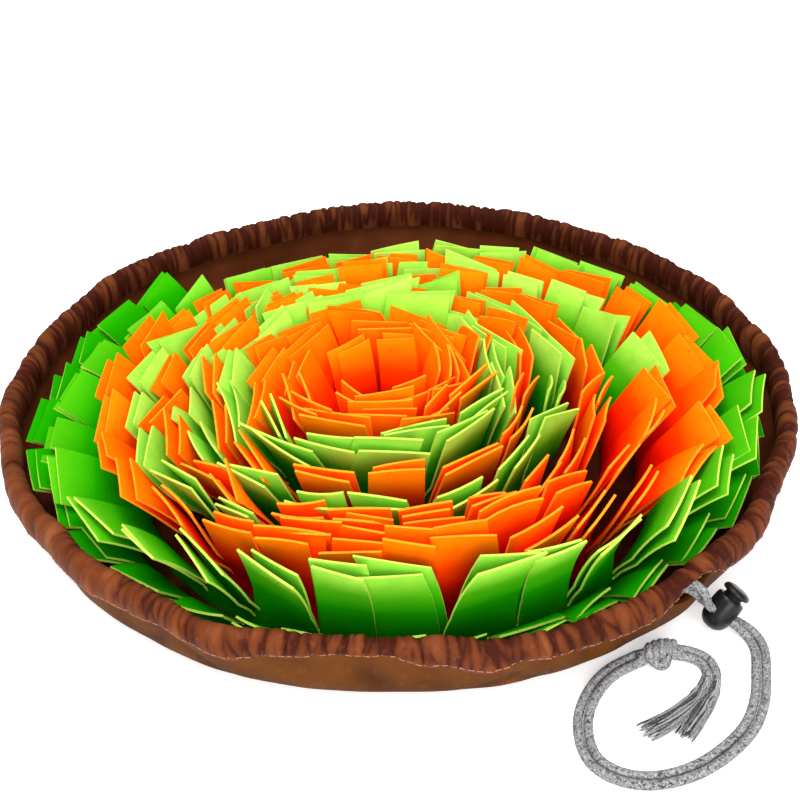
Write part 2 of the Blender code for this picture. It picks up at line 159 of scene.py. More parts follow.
SEAM_HEIGHT = (                      # azimuth (deg), height of the casing's lower edge
    (-180, 25.0), (-165, 24.0), (-150, 25.0), (-138, 27.0), (-126, 29.5), (-118, 34.0),
    (-111, 31.0), (-105, 35.0), (-98, 40.5), (-92, 40.0), (-87, 33.0), (-81, 28.5), (-76, 33.5),
    (-71, 30.0), (-64, 26.0), (-57, 26.0), (-55, 30.0), (-53, 35.5), (-51, 37.0), (-49, 36.0),
    (-47, 30.0), (-45, 24.5), (-30, 23.0), (0, 23.5), (40, 23.0), (90, 23.5), (140, 23.0),
)
WALL_EXTRA = (                       # azimuth (deg), how far the wall runs up inside the casing
    (-180, 0.0), (-128, 0.0), (-118, 4.0), (-104, 6.0), (-98, 9.0), (-90, 9.0), (-84, 3.0),
    (-76, 3.0), (-68, 0.0), (0, 0.0),
)
MOUTH_AZIMUTH = math.radians(-51.0)  # where the cord comes out of the casing
MOUTH_DIP = 8.0                      # how far the wall's edge dips there
DIP_SPREAD = 0.075                   # rad
WALL_FOLDS = (                       # middle (deg), half width (rad), depth (mm), slant
    (-150, 0.05, -1.2, 0.10), (-138, 0.07, 1.4, 0.0), (-128, 0.035, -2.0, -0.14),
    (-119, 0.05, 1.6, 0.05), (-111, 0.030, -2.6, 0.16), (-102, 0.06, 2.0, 0.0),
    (-91, 0.030, -1.4, 0.10), (-84, 0.024, -2.6, -0.16), (-78, 0.04, 2.2, 0.0),
    (-71, 0.022, -2.0, 0.14), (-65, 0.04, 1.0, 0.0), (-58, 0.03, -1.0, 0.1),
)
FOLD_REACH = 1.15                    # how soon up the wall the folds are deepest
CRUMPLE = (0.35, 47.0, 5.0)          # fine unevenness: depth, waves round the wall, waves of those
MIDDLE_TONE = 0.6                    # painted shade level of the bottom's very middle
WALL_TONE = 0.55                     # painted shade level: from 0, the darkest folds, to 1, the palest ridges
FOLD_PAINTED_SHADING = 0.30                     # painted shade and highlight: how far a fold's millimetre lightens or darkens the wall
WALL_SHADE = 0.30                    # painted shade: how much darker the wall is near its foot
CASING_PROFILE = (                   # out from the rim's middle, height
    (3.4, 23.0), (5.0, 27.0), (5.8, 33.0), (4.4, 40.2), (0.2, 43.8), (-4.2, 40.2),
    (-5.4, 33.0), (-4.4, 26.0),
)
CASING_TOP_SHARE = 0.52              # how far along its profile the casing's top lies
CASING_CLOTH = 0.9 * MM
CASING_STEPS = 1500                  # round the rim
CASING_ROWS = 26                     # from the outer seam over the top to the inner one
CASING_PROFILE_STEP = 2.0
CREASE_HABITS = (                    # azimuth (deg), spacing, depth, slant (mm), share that run far
    (-180, 4.0, 0.7, 2.0, 0.4), (-160, 4.5, 0.45, 5.0, 0.3), (-135, 5.0, 0.4, 6.0, 0.3),
    (-112, 5.0, 0.9, -5.0, 0.4), (-92, 5.0, 1.2, 4.0, 0.5), (-75, 4.6, 1.1, -7.0, 0.5),
    (-60, 4.6, 0.9, -9.0, 0.6), (-35, 4.6, 0.8, -11.0, 0.7), (10, 4.2, 0.9, -8.0, 0.7),
    (45, 4.0, 1.1, 3.0, 0.5), (90, 4.2, 1.4, 1.0, 0.5), (130, 4.2, 1.1, -3.0, 0.5),
    (160, 4.0, 0.9, 3.0, 0.5),
)
# how the creases differ, least and most: half length (share of the profile), width (mm), and
# depth (times that of their place), of those that run far and of the short ones
LONG_CREASE = {"half": (0.30, 0.46), "width": (0.5, 1.3), "depth": (0.7, 1.6)}
SHORT_CREASE = {"half": (0.12, 0.26), "width": (0.4, 0.9), "depth": (0.3, 0.9)}
CREASE_MIDDLES = (0.25, 0.75)        # the outer side's creases and the inner side's
CREASE_STRAY = 0.14
CREASE_LEAN = 3.0
CREASE_BOW = 1.2
CASING_WAVES = (31, 47, 66, 85, 113)  # soft waves round the casing
WAVE_DEPTH = 0.24
WAVE_SLANT = 2.2
RELIEF_LIFT = 0.5
RELIEF_LIMITS = (-2.6, 1.4)          # the deepest crease and the highest ridge
SEAM_RELIEF = 0.45                   # share of the relief that is left at both seams
RELIEF_PAINTED_SHADING = (1.3, 1.7)            # painted shade and highlight: the relief's darkest depth, and its span up to the palest
LINING_SHARE = 0.45                  # where along the profile the shaded inner side starts
STITCH_ROW = 2                       # the casing's row that the stitches run along
STITCH_LIFT = 0.45 * MM
STITCH_SIZES = (("Pitch", 4.2 * MM), ("Stitch Length", 3.0 * MM), ("Thread Radius", 0.32 * MM))
STITCH_TAPER = 0.35                  # a stitch's radius where it dips into the cloth

# ---- felt rings ------------------------------------------------------------------------------
FELT = 1.25 * MM
BAND_HEIGHT = 8.0                    # the uncut band along a strip's foot
FOOT_HEIGHT = 2.3                    # height of the foot over the surface
TAB_GAP = 0.9
PLY_FOOT = 1.2                       # from the strip's middle to each of its two plies
PLY_SPREAD = 3.0                     # how far out the outer ply's tips lie, and the inner's in
PLY_STRAY = (("sway", 0.03), ("face", 0.04), ("twist", 0.06), ("free", 1.1), ("slant", 0.03))
# rings sewn from two strips: half their distance, and how much more that is at the back
TWIN_STRIPS = {"f": (3.4, 0.0), "g": (4.2, 2.0), "h": (4.4, 2.2)}
RINGS = (
    # name, first azimuth and sweep of the ring (deg), arcs, tabs in an arc,
    # middle x, middle y, foot radius, how far the tips lie outside the foot and how high they
    # stand at the right, back, left and front, and the colour of each arc anticlockwise
    ("p", 135, 255, 4, 6, 1, -20, 175, (37, 38, 36, 9), (38, 40, 38, 20), "GGGG"),
    ("a", 0, 360, 6, 5, 5, -31, 157, (43, 4, 50, 5), (58, 57, 44, 66), "GGGGGG"),
    ("i", 0, 360, 6, 5, 4, -30, 139, (42, 9, 34, 8), (60, 57, 55, 66), "OOOOOO"),
    ("b", 0, 360, 6, 4, 1, -28, 122, (28, 15, 29, 15), (61, 58, 58, 65), "GGGGOO"),
    ("c", 0, 360, 6, 4, -2, -27, 107, (12, 19, 27, 21), (61, 59, 59, 64), "OOOOOO"),
    ("d", 0, 360, 6, 3, -5, -25, 92, (7, 22, 25, 28), (61, 60, 60, 63), "GGGGGG"),
    ("e", 0, 360, 5, 3, -8, -22, 77, (7, 24, 25, 25), (61, 60, 60, 64), "OOOOO"),
    ("f", 0, 360, 5, 2, -11, -18, 61, (9, 25, 25, 18), (62, 61, 61, 64), "GGGGG"),
    ("g", 0, 360, 4, 2, -11, -15, 45, (11, 20, 25, 13), (62, 62, 61, 65), "OOOO"),
    ("h", 0, 360, 3, 2, -9, -20, 28, (11, 9, 23, 9), (62, 63, 62, 65), "OOO"),
)
PETAL_RINGS = ("p", "a")             # their tabs curl out evenly, like petals
WILD_SHARE = 0.10                    # share of the tabs that lean or twist far more than the rest
WILD_SWAY = 0.20
WILD_TWIST = 2.2                     # times the usual twist
PETAL_CURL = (0.30, 0.08)            # how far a tab curls from foot to tip, and its spread (rad)
TAB_CURL = (0.04, 0.12)
# how far the tabs differ from one another: mm for reach, free and cup, rad for the turns
TAB_STRAY = {"reach": 2.4, "free": 2.2, "sway": 0.07, "face": 0.07, "twist": 0.12, "cup": 0.7,
             "slant": 0.07, "tone": 0.30, "wide": 0.04}
CUT_STRAY = 0.10                     # how far a cut lies off its place, in tabs
VIEW_TURN = 0.20                     # how far the tabs at the sides turn towards the front (rad)
FELT_GLOW = 0.07                     # painted glow: the felt emits its own colour, standing in for light thrown between close tabs
COLOUR_NAMES = {"G": "green", "O": "orange"}
TAB_COLUMNS = 4
TAB_ROWS = 9
FIRST_SEED = 100

# ---- lock ------------------------------------------------------------------------------------
BARREL = (                           # radius, height above the cord's hole
    (6.2, 9.72), (6.9, 9.6), (7.35, 9.2), (7.6, 8.4), (7.75, 7.0), (7.8, 3.0), (7.75, -1.0),
    (7.5, -3.4), (6.9, -5.2), (6.0, -6.7), (4.8, -7.9), (3.4, -8.7), (1.8, -9.05),
)
BARREL_POLES = (9.7, -9.15)          # heights of the middle of its top and its bottom
BUTTON = (
    (2.5, 15.75), (4.6, 15.6), (5.9, 15.2), (6.8, 14.6), (7.25, 13.9), (7.4, 13.2), (7.35, 12.7),
    (7.1, 12.25), (6.5, 12.0), (5.2, 11.9), (4.9, 11.4), (4.9, 9.0), (4.9, 6.5),
)
BUTTON_POLES = (15.8, 6.4)
BORE = ((5.3, 14.0), (5.3, 3.9))
BORE_POLES = (14.0, 3.9)
BORE_SIDES = 48
HOLE_STRAIGHT = 2.45                 # half the flat part of the cord's hole
HOLE_BEND = 2.95                     # radius of its round ends
HOLE_REACH = 14.0
HOLE_STEPS = 12                      # along each round end
EDGE_ROUNDING = 0.35 * MM
LOCK_SIDES = 72

# sockets of the colour mixing node
MIX_SHARE, MIX_FIRST, MIX_SECOND, MIX_RESULT = 0, 6, 7, 2


# ---- small helpers ---------------------------------------------------------------------------
def run_lengths(points):
    """How far along the path each of its points lies."""
    return np.concatenate(([0.0], np.cumsum(np.linalg.norm(np.diff(points, axis=0), axis=1))))


def hermite(rows, step):
    """A smooth curve through the rows, read at even steps along its first three columns."""
    rows = np.array(rows, float)
    padded = np.vstack((rows[:1], rows, rows[-1:]))
    fine = []
    for a, b, c, d in zip(padded, padded[1:], padded[2:], padded[3:]):
        for part in range(CURVE_PARTS):
            t = part / CURVE_PARTS
            fine.append(0.5 * (2 * b + (c - a) * t + (2 * a - 5 * b + 4 * c - d) * t * t
                               + (3 * b - a - 3 * c + d) * t ** 3))
    fine.append(rows[-1])
    fine = np.array(fine)
    lengths = run_lengths(fine[:, :3])
    count = max(2, round(lengths[-1] / step))
    targets = np.linspace(0.0, lengths[-1], count + 1)
    return np.column_stack([np.interp(targets, lengths, fine[:, k]) for k in range(fine.shape[1])])


def round_table(azimuth, table, column=1, eased=False):
    """Reads a table whose first column is an azimuth in degrees, round the full turn."""
    table = np.array(table, float)
    degrees = (np.degrees(azimuth) + 180.0) % 360.0 - 180.0
    stops = np.append(table[:, 0], table[0, 0] + 360.0)
    values = np.append(table[:, column], table[0, column])
    slot = np.clip(np.searchsorted(stops, degrees, side="right") - 1, 0, len(stops) - 2)
    share = (degrees - stops[slot]) / (stops[slot + 1] - stops[slot])
    if eased:
        share = 0.5 - 0.5 * np.cos(np.pi * share)
    return values[slot] + (values[slot + 1] - values[slot]) * share


def rim_radius(azimuth):
    """Radius of the rim's middle, in millimetres."""
    gathers = sum(depth * np.sin(count * azimuth + phase) for count, depth, phase in GATHERS)
    return round_table(azimuth, RIM_SHAPE, 1, True) + gathers


def rim_rise(azimuth):
    """How far the rim lies above its mean height."""
    return round_table(azimuth, RIM_SHAPE, 2, True)


def mesh_piece(name, points, faces, materials):
    """A new object in the scene, at the origin, with its place in its mesh."""
    mesh = bpy.data.meshes.new(name)
    mesh.from_pydata([tuple(p) for p in points], [], [tuple(f) for f in faces])
    for made in materials:
        mesh.materials.append(made)
    mesh.update()
    piece = bpy.data.objects.new(name, mesh)
    bpy.context.scene.collection.objects.link(piece)
    return piece


def set_attribute(piece, name, values):
    layer = piece.data.attributes.new(name, "FLOAT", "POINT")
    layer.data.foreach_set("value", np.asarray(values, np.float32))


def thicken(piece, thickness, offset=0.0, rim_slot=0, back_slot=0):
    """Gives a sheet its thickness, its cut edge and its back in other materials if asked."""
    solid = piece.modifiers.new("thickness", "SOLIDIFY")
    solid.thickness = thickness
    solid.material_offset = back_slot
    solid.offset = offset
    solid.use_even_offset = True
    solid.material_offset_rim = rim_slot


def settle(piece, sharp_degrees=None):
    """Turns the piece's modifiers into plain mesh, shaded smooth but for sharp edges."""
    view = bpy.context.evaluated_depsgraph_get()
    made = bpy.data.meshes.new_from_object(piece.evaluated_get(view), depsgraph=view)
    piece.modifiers.clear()
    old = piece.data
    piece.data = made
    made.name = piece.name
    bpy.data.meshes.remove(old)
    made.shade_smooth()
    if sharp_degrees is not None:
        made.set_sharp_from_angle(angle=math.radians(sharp_degrees))


def outward(piece):
    """Makes all faces of a mesh point the same way, outwards if it is closed."""
    work = bmesh.new()
    work.from_mesh(piece.data)
    bmesh.ops.recalc_face_normals(work, faces=work.faces)
    work.to_mesh(piece.data)
    work.free()


def grid_faces(rows, columns, closed=False, start=0):
    """Quads of a grid of rows by columns of points, whose rows may close into rings."""
    faces = []
    for row in range(rows - 1):
        for column in range(columns if closed else columns - 1):
            below = start + row * columns
            above = below + columns
            after = (column + 1) % columns
            faces.append((below + column, below + after, above + after, above + column))
    return faces


# ---- materials -------------------------------------------------------------------------------
class Paint:
    """Builds one material's nodes."""

    def __init__(self, name):
        self.material = bpy.data.materials.new(name)
        self.material.use_nodes = True
        self.nodes = self.material.node_tree.nodes
        self.links = self.material.node_tree.links
        self.shader = self.nodes["Principled BSDF"]
        self.place = self.nodes.new("ShaderNodeTexCoord").outputs["Object"]

    def attribute(self, name):
        node = self.nodes.new("ShaderNodeAttribute")
        node.attribute_name = name
        return node.outputs["Fac"]

    def noise(self, scale, detail=3.0, stretch=(1.0, 1.0, 1.0), roughness=0.55):
        mapping = self.nodes.new("ShaderNodeMapping")
        mapping.inputs["Scale"].default_value = stretch
        self.links.new(self.place, mapping.inputs["Vector"])
        node = self.nodes.new("ShaderNodeTexNoise")
        node.inputs["Scale"].default_value = scale
        node.inputs["Detail"].default_value = detail
        node.inputs["Roughness"].default_value = roughness
        self.links.new(mapping.outputs["Vector"], node.inputs["Vector"])
        return node.outputs["Fac"]

    def span(self, value, low, high, to_low=0.0, to_high=1.0):
        node = self.nodes.new("ShaderNodeMapRange")
        node.inputs["From Min"].default_value = low
        node.inputs["From Max"].default_value = high
        node.inputs["To Min"].default_value = to_low
        node.inputs["To Max"].default_value = to_high
        self.links.new(value, node.inputs["Value"])
        return node.outputs["Result"]

    def math(self, operation, a, b):
        node = self.nodes.new("ShaderNodeMath")
        node.operation = operation
        for socket, value in zip(node.inputs, (a, b)):
            if isinstance(value, float):
                socket.default_value = value
            else:
                self.links.new(value, socket)
        return node.outputs["Value"]

    def mix(self, share, a, b):
        node = self.nodes.new("ShaderNodeMix")
        node.data_type = "RGBA"
        if isinstance(share, float):
            node.inputs[MIX_SHARE].default_value = share
        else:
            self.links.new(share, node.inputs[MIX_SHARE])
        for socket, value in ((node.inputs[MIX_FIRST], a), (node.inputs[MIX_SECOND], b)):
            if isinstance(value, tuple):
                socket.default_value = (*value, 1.0)
            else:
                self.links.new(value, socket)
        return node.outputs[MIX_RESULT]

    def bump(self, height, distance, strength=1.0):
        node = self.nodes.new("ShaderNodeBump")
        node.inputs["Distance"].default_value = distance
        node.inputs["Strength"].default_value = strength
        self.links.new(height, node.inputs["Height"])
        self.links.new(node.outputs["Normal"], self.shader.inputs["Normal"])

    def colour(self, output):
        self.links.new(output, self.shader.inputs["Base Color"])

    def set(self, **sockets):
        for name, value in sockets.items():
            self.shader.inputs[name.replace("_", " ")].default_value = value


def paint_felt(name, deep, low, body, light):
    """Pressed felt: matted fibres, with painted shade deep at the foot that lightens to painted light
    towards the tip.
    """
    paint = Paint(name)
    tone = paint.attribute("tone")
    rise = paint.attribute("rise")
    fibres = paint.noise(1500.0, 4.0)
    blotches = paint.noise(90.0, 2.0)
    # painted shade: the deep and low colours darken each tab towards its foot, where shade falls
    # between the tabs
    base = paint.mix(paint.span(rise, 0.05, 0.45), deep, low)
    base = paint.mix(paint.span(rise, 0.38, 0.86), base, body)
    # painted light: the light colour lightens each tab's upper end, further on tabs of a paler tone
    tip = paint.math("MULTIPLY", paint.span(tone, 0.0, 1.0, 0.45, 1.0), paint.span(rise, 0.62, 0.98))
    base = paint.mix(tip, base, light)
    # pale fibres in the light colour, showing more higher up the tab as part of the painted light
    pale_fibres = paint.span(fibres, 0.58, 0.80, 0.0, 0.30)
    base = paint.mix(paint.math("MULTIPLY", pale_fibres, paint.span(rise, 0.2, 0.8)), base, light)
    base = paint.mix(paint.span(fibres, 0.42, 0.20, 0.0, 0.22), base, low)
    base = paint.mix(paint.span(blotches, 0.55, 0.30, 0.0, 0.16), base, low)
    paint.colour(base)
    # painted glow: the felt emits its own colour, standing in for light thrown between close tabs
    paint.links.new(base, paint.shader.inputs["Emission Color"])
    paint.bump(paint.math("ADD", fibres, paint.span(blotches, 0.0, 1.0, 0.0, 0.6)), 0.35 * MM, 0.55)
    paint.set(Roughness=1.0, Specular_IOR_Level=0.0, Emission_Strength=FELT_GLOW)
    return paint.material


def paint_cut(name, body, light):
    """The cut side of the felt: paler, a painted highlight on the cut edges, with loose fibres."""
    paint = Paint(name)
    fibres = paint.noise(2200.0, 3.0)
    paint.colour(paint.mix(paint.span(fibres, 0.35, 0.65), body, light))
    paint.bump(fibres, 0.3 * MM, 0.6)
    paint.set(Roughness=1.0, Specular_IOR_Level=0.0)
    return paint.material


def paint_nylon(name, valley, body, ridge, shade, weave_scale=1400.0):
    """Coated woven nylon: a fine weave, painted shade in its folds, a painted highlight on ridges,
    shade tones inside.
    """
    paint = Paint(name)
    fold = paint.attribute("fold")
    blotches = paint.noise(70.0, 3.0)
    weave = paint.noise(weave_scale, 2.0, (1.0, 1.0, 0.35))
    creases = paint.noise(260.0, 4.0, (1.0, 1.0, 0.6), 0.65)
    # painted shade and highlight: the fold level runs from the valley colour in creases to the ridge
    # colour on ridges
    base = paint.mix(paint.span(fold, 0.05, 0.60), valley, body)
    base = paint.mix(paint.span(fold, 0.68, 1.0, 0.0, 0.75), base, ridge)
    base = paint.mix(paint.span(blotches, 0.4, 0.8, 0.0, 0.35), base, valley)
    base = paint.mix(paint.span(creases, 0.55, 0.8, 0.0, 0.35), base, ridge)
    # painted shade: the inner side runs from the valley colour to the shade colour, without the ridge
    # highlight
    shaded = paint.mix(paint.span(fold, 0.2, 1.0), valley, shade)
    base = paint.mix(paint.attribute("inner"), base, shaded)
    paint.colour(base)
    grain = paint.math("ADD", weave, paint.span(creases, 0.0, 1.0, 0.0, 2.2))
    paint.bump(grain, 0.30 * MM, 0.6)
    paint.set(Roughness=0.68, Specular_IOR_Level=0.07)
    return paint.material


def paint_cotton(name):
    """Heathered cotton: mid grey strands, small dark flecks, paler fibres, painted shade between
    strands.
    """
    paint = Paint(name)
    fleck = paint.attribute("fleck")
    hollow = paint.attribute("hollow")
    fibres = paint.noise(2400.0, 4.0, roughness=0.7)
    heather = paint.noise(900.0, 3.0, roughness=0.7)
    base = paint.mix(paint.span(heather, 0.38, 0.62), (0.12, 0.118, 0.122), (0.32, 0.315, 0.32))
    base = paint.mix(paint.span(fleck, 0.22, 0.12), base, (0.035, 0.035, 0.04))
    base = paint.mix(paint.span(fleck, 0.70, 0.95, 0.0, 0.6), base, (0.46, 0.46, 0.46))
    base = paint.mix(paint.span(fibres, 0.54, 0.66, 0.0, 0.75), base, (0.05, 0.05, 0.055))
    base = paint.mix(paint.span(fibres, 0.45, 0.34, 0.0, 0.65), base, (0.60, 0.60, 0.60))
    # painted shade: darker where the braid sinks between its strands
    base = paint.mix(paint.span(hollow, 0.0, 0.50, 0.75, 0.0), base, (0.045, 0.045, 0.05))
    paint.colour(base)
    paint.bump(fibres, 0.3 * MM, 0.8)
    paint.set(Roughness=0.95, Specular_IOR_Level=0.05)
    return paint.material


def paint_plastic(name):
    """Moulded black plastic, satin with a fine grain."""
    paint = Paint(name)
    grain = paint.noise(600.0, 3.0)
    paint.colour(paint.mix(grain, (0.003, 0.003, 0.0035), (0.008, 0.008, 0.009)))
    rough = paint.span(paint.noise(240.0, 3.0), 0.3, 0.7, 0.26, 0.40)
    paint.links.new(rough, paint.shader.inputs["Roughness"])
    paint.bump(grain, 0.05 * MM, 0.25)
    paint.set(Specular_IOR_Level=0.22)
    return paint.material


def paint_floor():
    paint = Paint("pale_floor")
    paint.colour(paint.mix(paint.noise(3.0, 2.0), (0.93, 0.93, 0.93), (0.95, 0.95, 0.95)))
    paint.set(Roughness=0.9, Specular_IOR_Level=0.05, Emission_Color=(1.0, 1.0, 1.0, 1.0),
              Emission_Strength=0.42)
    return paint.material


def make_paints():
    """All finishes; felt and nylon tones run from the darkest painted shade to the palest painted
    highlight.
    """
    return {
        # felt: painted shade at the foot, then the body colour, up to painted light at the tip
        "G": paint_felt("green_felt", (0.002, 0.13, 0.0), (0.010, 0.32, 0.0), (0.13, 0.50, 0.008),
                        (0.46, 0.80, 0.095)),
        # cut sides paler than the felt: a painted highlight on the cut edges
        "G_cut": paint_cut("green_felt_cut", (0.36, 0.60, 0.05), (0.56, 0.74, 0.11)),
        # felt: painted shade at the foot, then the body colour, up to painted light at the tip
        "O": paint_felt("orange_felt", (0.32, 0.0, 0.0), (0.88, 0.012, 0.0), (1.0, 0.082, 0.0),
                        (1.0, 0.23, 0.002)),
        # cut sides paler than the felt: a painted highlight on the cut edges
        "O_cut": paint_cut("orange_felt_cut", (1.0, 0.20, 0.006), (1.0, 0.34, 0.02)),
        # nylon: valley painted shade, body, ridge painted highlight, and the inner side's painted
        # shade tone
        "casing": paint_nylon("casing_nylon", (0.040, 0.006, 0.002), (0.130, 0.030, 0.007),
                              (0.26, 0.078, 0.024), (0.17, 0.045, 0.013)),
        "shell": paint_nylon("shell_nylon", (0.032, 0.008, 0.001), (0.105, 0.030, 0.002),
                             (0.21, 0.070, 0.005), (0.10, 0.03, 0.004), 900.0),
        "lining": paint_nylon("shell_nylon_inside", (0.045, 0.009, 0.002), (0.12, 0.028, 0.007),
                              (0.18, 0.045, 0.012), (0.06, 0.018, 0.006), 900.0),
        "thread": paint_cut("pale_thread", (0.25, 0.10, 0.06), (0.42, 0.22, 0.14)),
        "cotton": paint_cotton("grey_cotton"),
        "plastic": paint_plastic("black_plastic"),
        "floor": paint_floor(),
    }


# ---- camera, floor and lights ----------------------------------------------------------------
def place_camera():
    """The photo's own view: above the front edge, looking down and a little rolled."""
    data = bpy.data.cameras.new("camera")
    data.lens = CAMERA_LENS
    data.sensor_width = SENSOR_WIDTH
    camera = bpy.data.objects.new("camera", data)
    bpy.context.scene.collection.objects.link(camera)
    ahead = Vector((0.0, math.cos(CAMERA_PITCH), -math.sin(CAMERA_PITCH)))
    right = Vector((1.0, 0.0, 0.0))
    up = Vector((0.0, math.sin(CAMERA_PITCH), math.cos(CAMERA_PITCH)))
    across = right * math.cos(CAMERA_ROLL) + up * math.sin(CAMERA_ROLL)
    upward = up * math.cos(CAMERA_ROLL) - right * math.sin(CAMERA_ROLL)
    turn = Matrix((across, upward, -ahead)).transposed().to_4x4()
    camera.matrix_world = Matrix.Translation(Vector(CAMERA_PLACE)) @ turn
    bpy.context.scene.camera = camera


def soft_light(name, place, size, power):
    """A square softbox that faces the mat's middle."""
    data = bpy.data.lights.new(name, "AREA")
    data.shape = "SQUARE"
    data.size = size
    data.energy = power
    light = bpy.data.objects.new(name, data)
    bpy.context.scene.collection.objects.link(light)
    light.location = place
    light.rotation_euler = (-Vector(place)).to_track_quat("-Z", "Y").to_euler()


def set_studio(paints):
    """The pale floor, even light all round and the softboxes."""
    corners = [(x * FLOOR_HALF, y * FLOOR_HALF, 0) for x, y in ((-1, -1), (1, -1), (1, 1), (-1, 1))]
    floor = mesh_piece("floor", corners, [(0, 1, 2, 3)], [paints["floor"]])
    world = bpy.data.worlds.new("studio")
    bpy.context.scene.world = world
    world.use_nodes = True
    background = world.node_tree.nodes["Background"]
    background.inputs["Color"].default_value = (1.0, 1.0, 1.0, 1.0)
    background.inputs["Strength"].default_value = SURROUND
    for row in SOFTBOXES:
        soft_light(*row)
    view = bpy.context.scene.view_settings
    view.view_transform = "Standard"
    view.look = "None"


# ---- dish ------------------------------------------------------------------------------------
def mouth_distance(azimuth):
    """Angle from the casing's mouth, to either side."""
    return (azimuth - MOUTH_AZIMUTH + math.pi) % TURN - math.pi


def soft_folds(azimuth, height_share):
    """Shallow folds in the wall, each strongest at its own azimuth."""
    total = np.zeros_like(azimuth)
    for centre, width, depth, slant in WALL_FOLDS:
        away = (azimuth - math.radians(centre) + slant * height_share + math.pi) % TURN - math.pi
        total += depth * np.exp(-(away / width) ** 2)
    return total


def build_dish(paints):
    """The disc of nylon: flat at the bottom, its wall drawn up and folded by the cord."""
    bottom = np.linspace(*BOTTOM_RADII)[1:]
    level = np.zeros_like(bottom)
    profile = np.vstack((np.column_stack((bottom, level, level)), hermite(DISH_PROFILE, PROFILE_STEP)))
    azimuth = np.arange(DISH_STEPS) * TURN / DISH_STEPS
    points, folds = [(0.0, 0.0, 0.0)], [MIDDLE_TONE]
    crumple, waves, slow_waves = CRUMPLE
    rim = rim_radius(azimuth) - RIM_RADIUS
    rise = rim_rise(azimuth) + round_table(azimuth, WALL_EXTRA, 1, True)
    dip = MOUTH_DIP * np.exp(-(mouth_distance(azimuth) / DIP_SPREAD) ** 2)
    for radius, height, share in profile:
        uneven = crumple * np.sin(waves * azimuth + 2.0 * np.sin(slow_waves * azimuth) + 3.0 * share)
        depth = math.sin(math.pi * min(1.0, FOLD_REACH * share))
        soft = soft_folds(azimuth, share) * depth + uneven
        r = radius + share * (rim + soft)
        z = height + share * (rise - dip)
        for a, b, c, g in zip(azimuth, r, z, soft):
            points.append((b * math.cos(a) * MM, b * math.sin(a) * MM, c * MM))
            # painted shade: darker in inward folds and towards the foot, lighter on outward bulges
            tone = WALL_TONE + FOLD_PAINTED_SHADING * g * share - WALL_SHADE * (1.0 - share)
            folds.append(min(1.0, max(0.0, tone)))
    faces = [(0, 1 + (k + 1) % DISH_STEPS, 1 + k) for k in range(DISH_STEPS)]
    faces += grid_faces(len(profile), DISH_STEPS, closed=True, start=1)
    dish = mesh_piece("dish", points, faces, [paints["shell"], paints["lining"]])
    set_attribute(dish, "fold", folds)
    outward(dish)
    thicken(dish, DISH_CLOTH, -1.0, back_slot=1)
    settle(dish, 50.0)
    return dish


# ---- casing ----------------------------------------------------------------------------------
def crease_field(length, rng):
    """How far the gathered strip stands out, and its painted shade level, 0 in creases to 1 on ridges.
    """
    along = np.linspace(0.0, length, CASING_STEPS, endpoint=False)
    share = np.linspace(0.0, 1.0, CASING_ROWS)
    relief = np.zeros((CASING_ROWS, CASING_STEPS))
    place = 0.0
    while place < length:
        azimuth = place / RIM_RADIUS
        spacing, depth, slant, far = (round_table(azimuth, CREASE_HABITS, k) for k in (1, 2, 3, 4))
        for usual_middle, usual_lean in zip(CREASE_MIDDLES, (slant, 0.5 * slant)):
            kind = LONG_CREASE if rng.random() < far else SHORT_CREASE
            middle = usual_middle + rng.uniform(-CREASE_STRAY, CREASE_STRAY)
            half = rng.uniform(*kind["half"])
            width = rng.uniform(*kind["width"])
            deep = depth * rng.uniform(*kind["depth"])
            start = place + rng.uniform(-0.4, 0.4) * spacing
            lean = usual_lean + rng.gauss(0.0, CREASE_LEAN)
            bow = rng.gauss(0.0, CREASE_BOW)
            offset = share - middle
            path = start + lean * offset + bow * np.sin(5.0 * offset)
            away = (along[None, :] - path[:, None] + 0.5 * length) % length - 0.5 * length
            fade = np.clip(1.0 - (offset / half) ** 2, 0.0, 1.0) ** 0.8
            relief -= (deep * fade)[:, None] / (1.0 + (away / width) ** 2)
        place += spacing * rng.uniform(0.20, 0.95)
    angle = along / length * TURN
    for count in CASING_WAVES:
        phase = rng.uniform(0.0, TURN)
        depth = WAVE_DEPTH * rng.uniform(0.3, 1.0)
        relief += depth * np.sin(count * angle[None, :] + phase + WAVE_SLANT * share[:, None])
    darkest, span = RELIEF_PAINTED_SHADING
    return relief, np.clip((relief + darkest) / span, 0.0, 1.0)


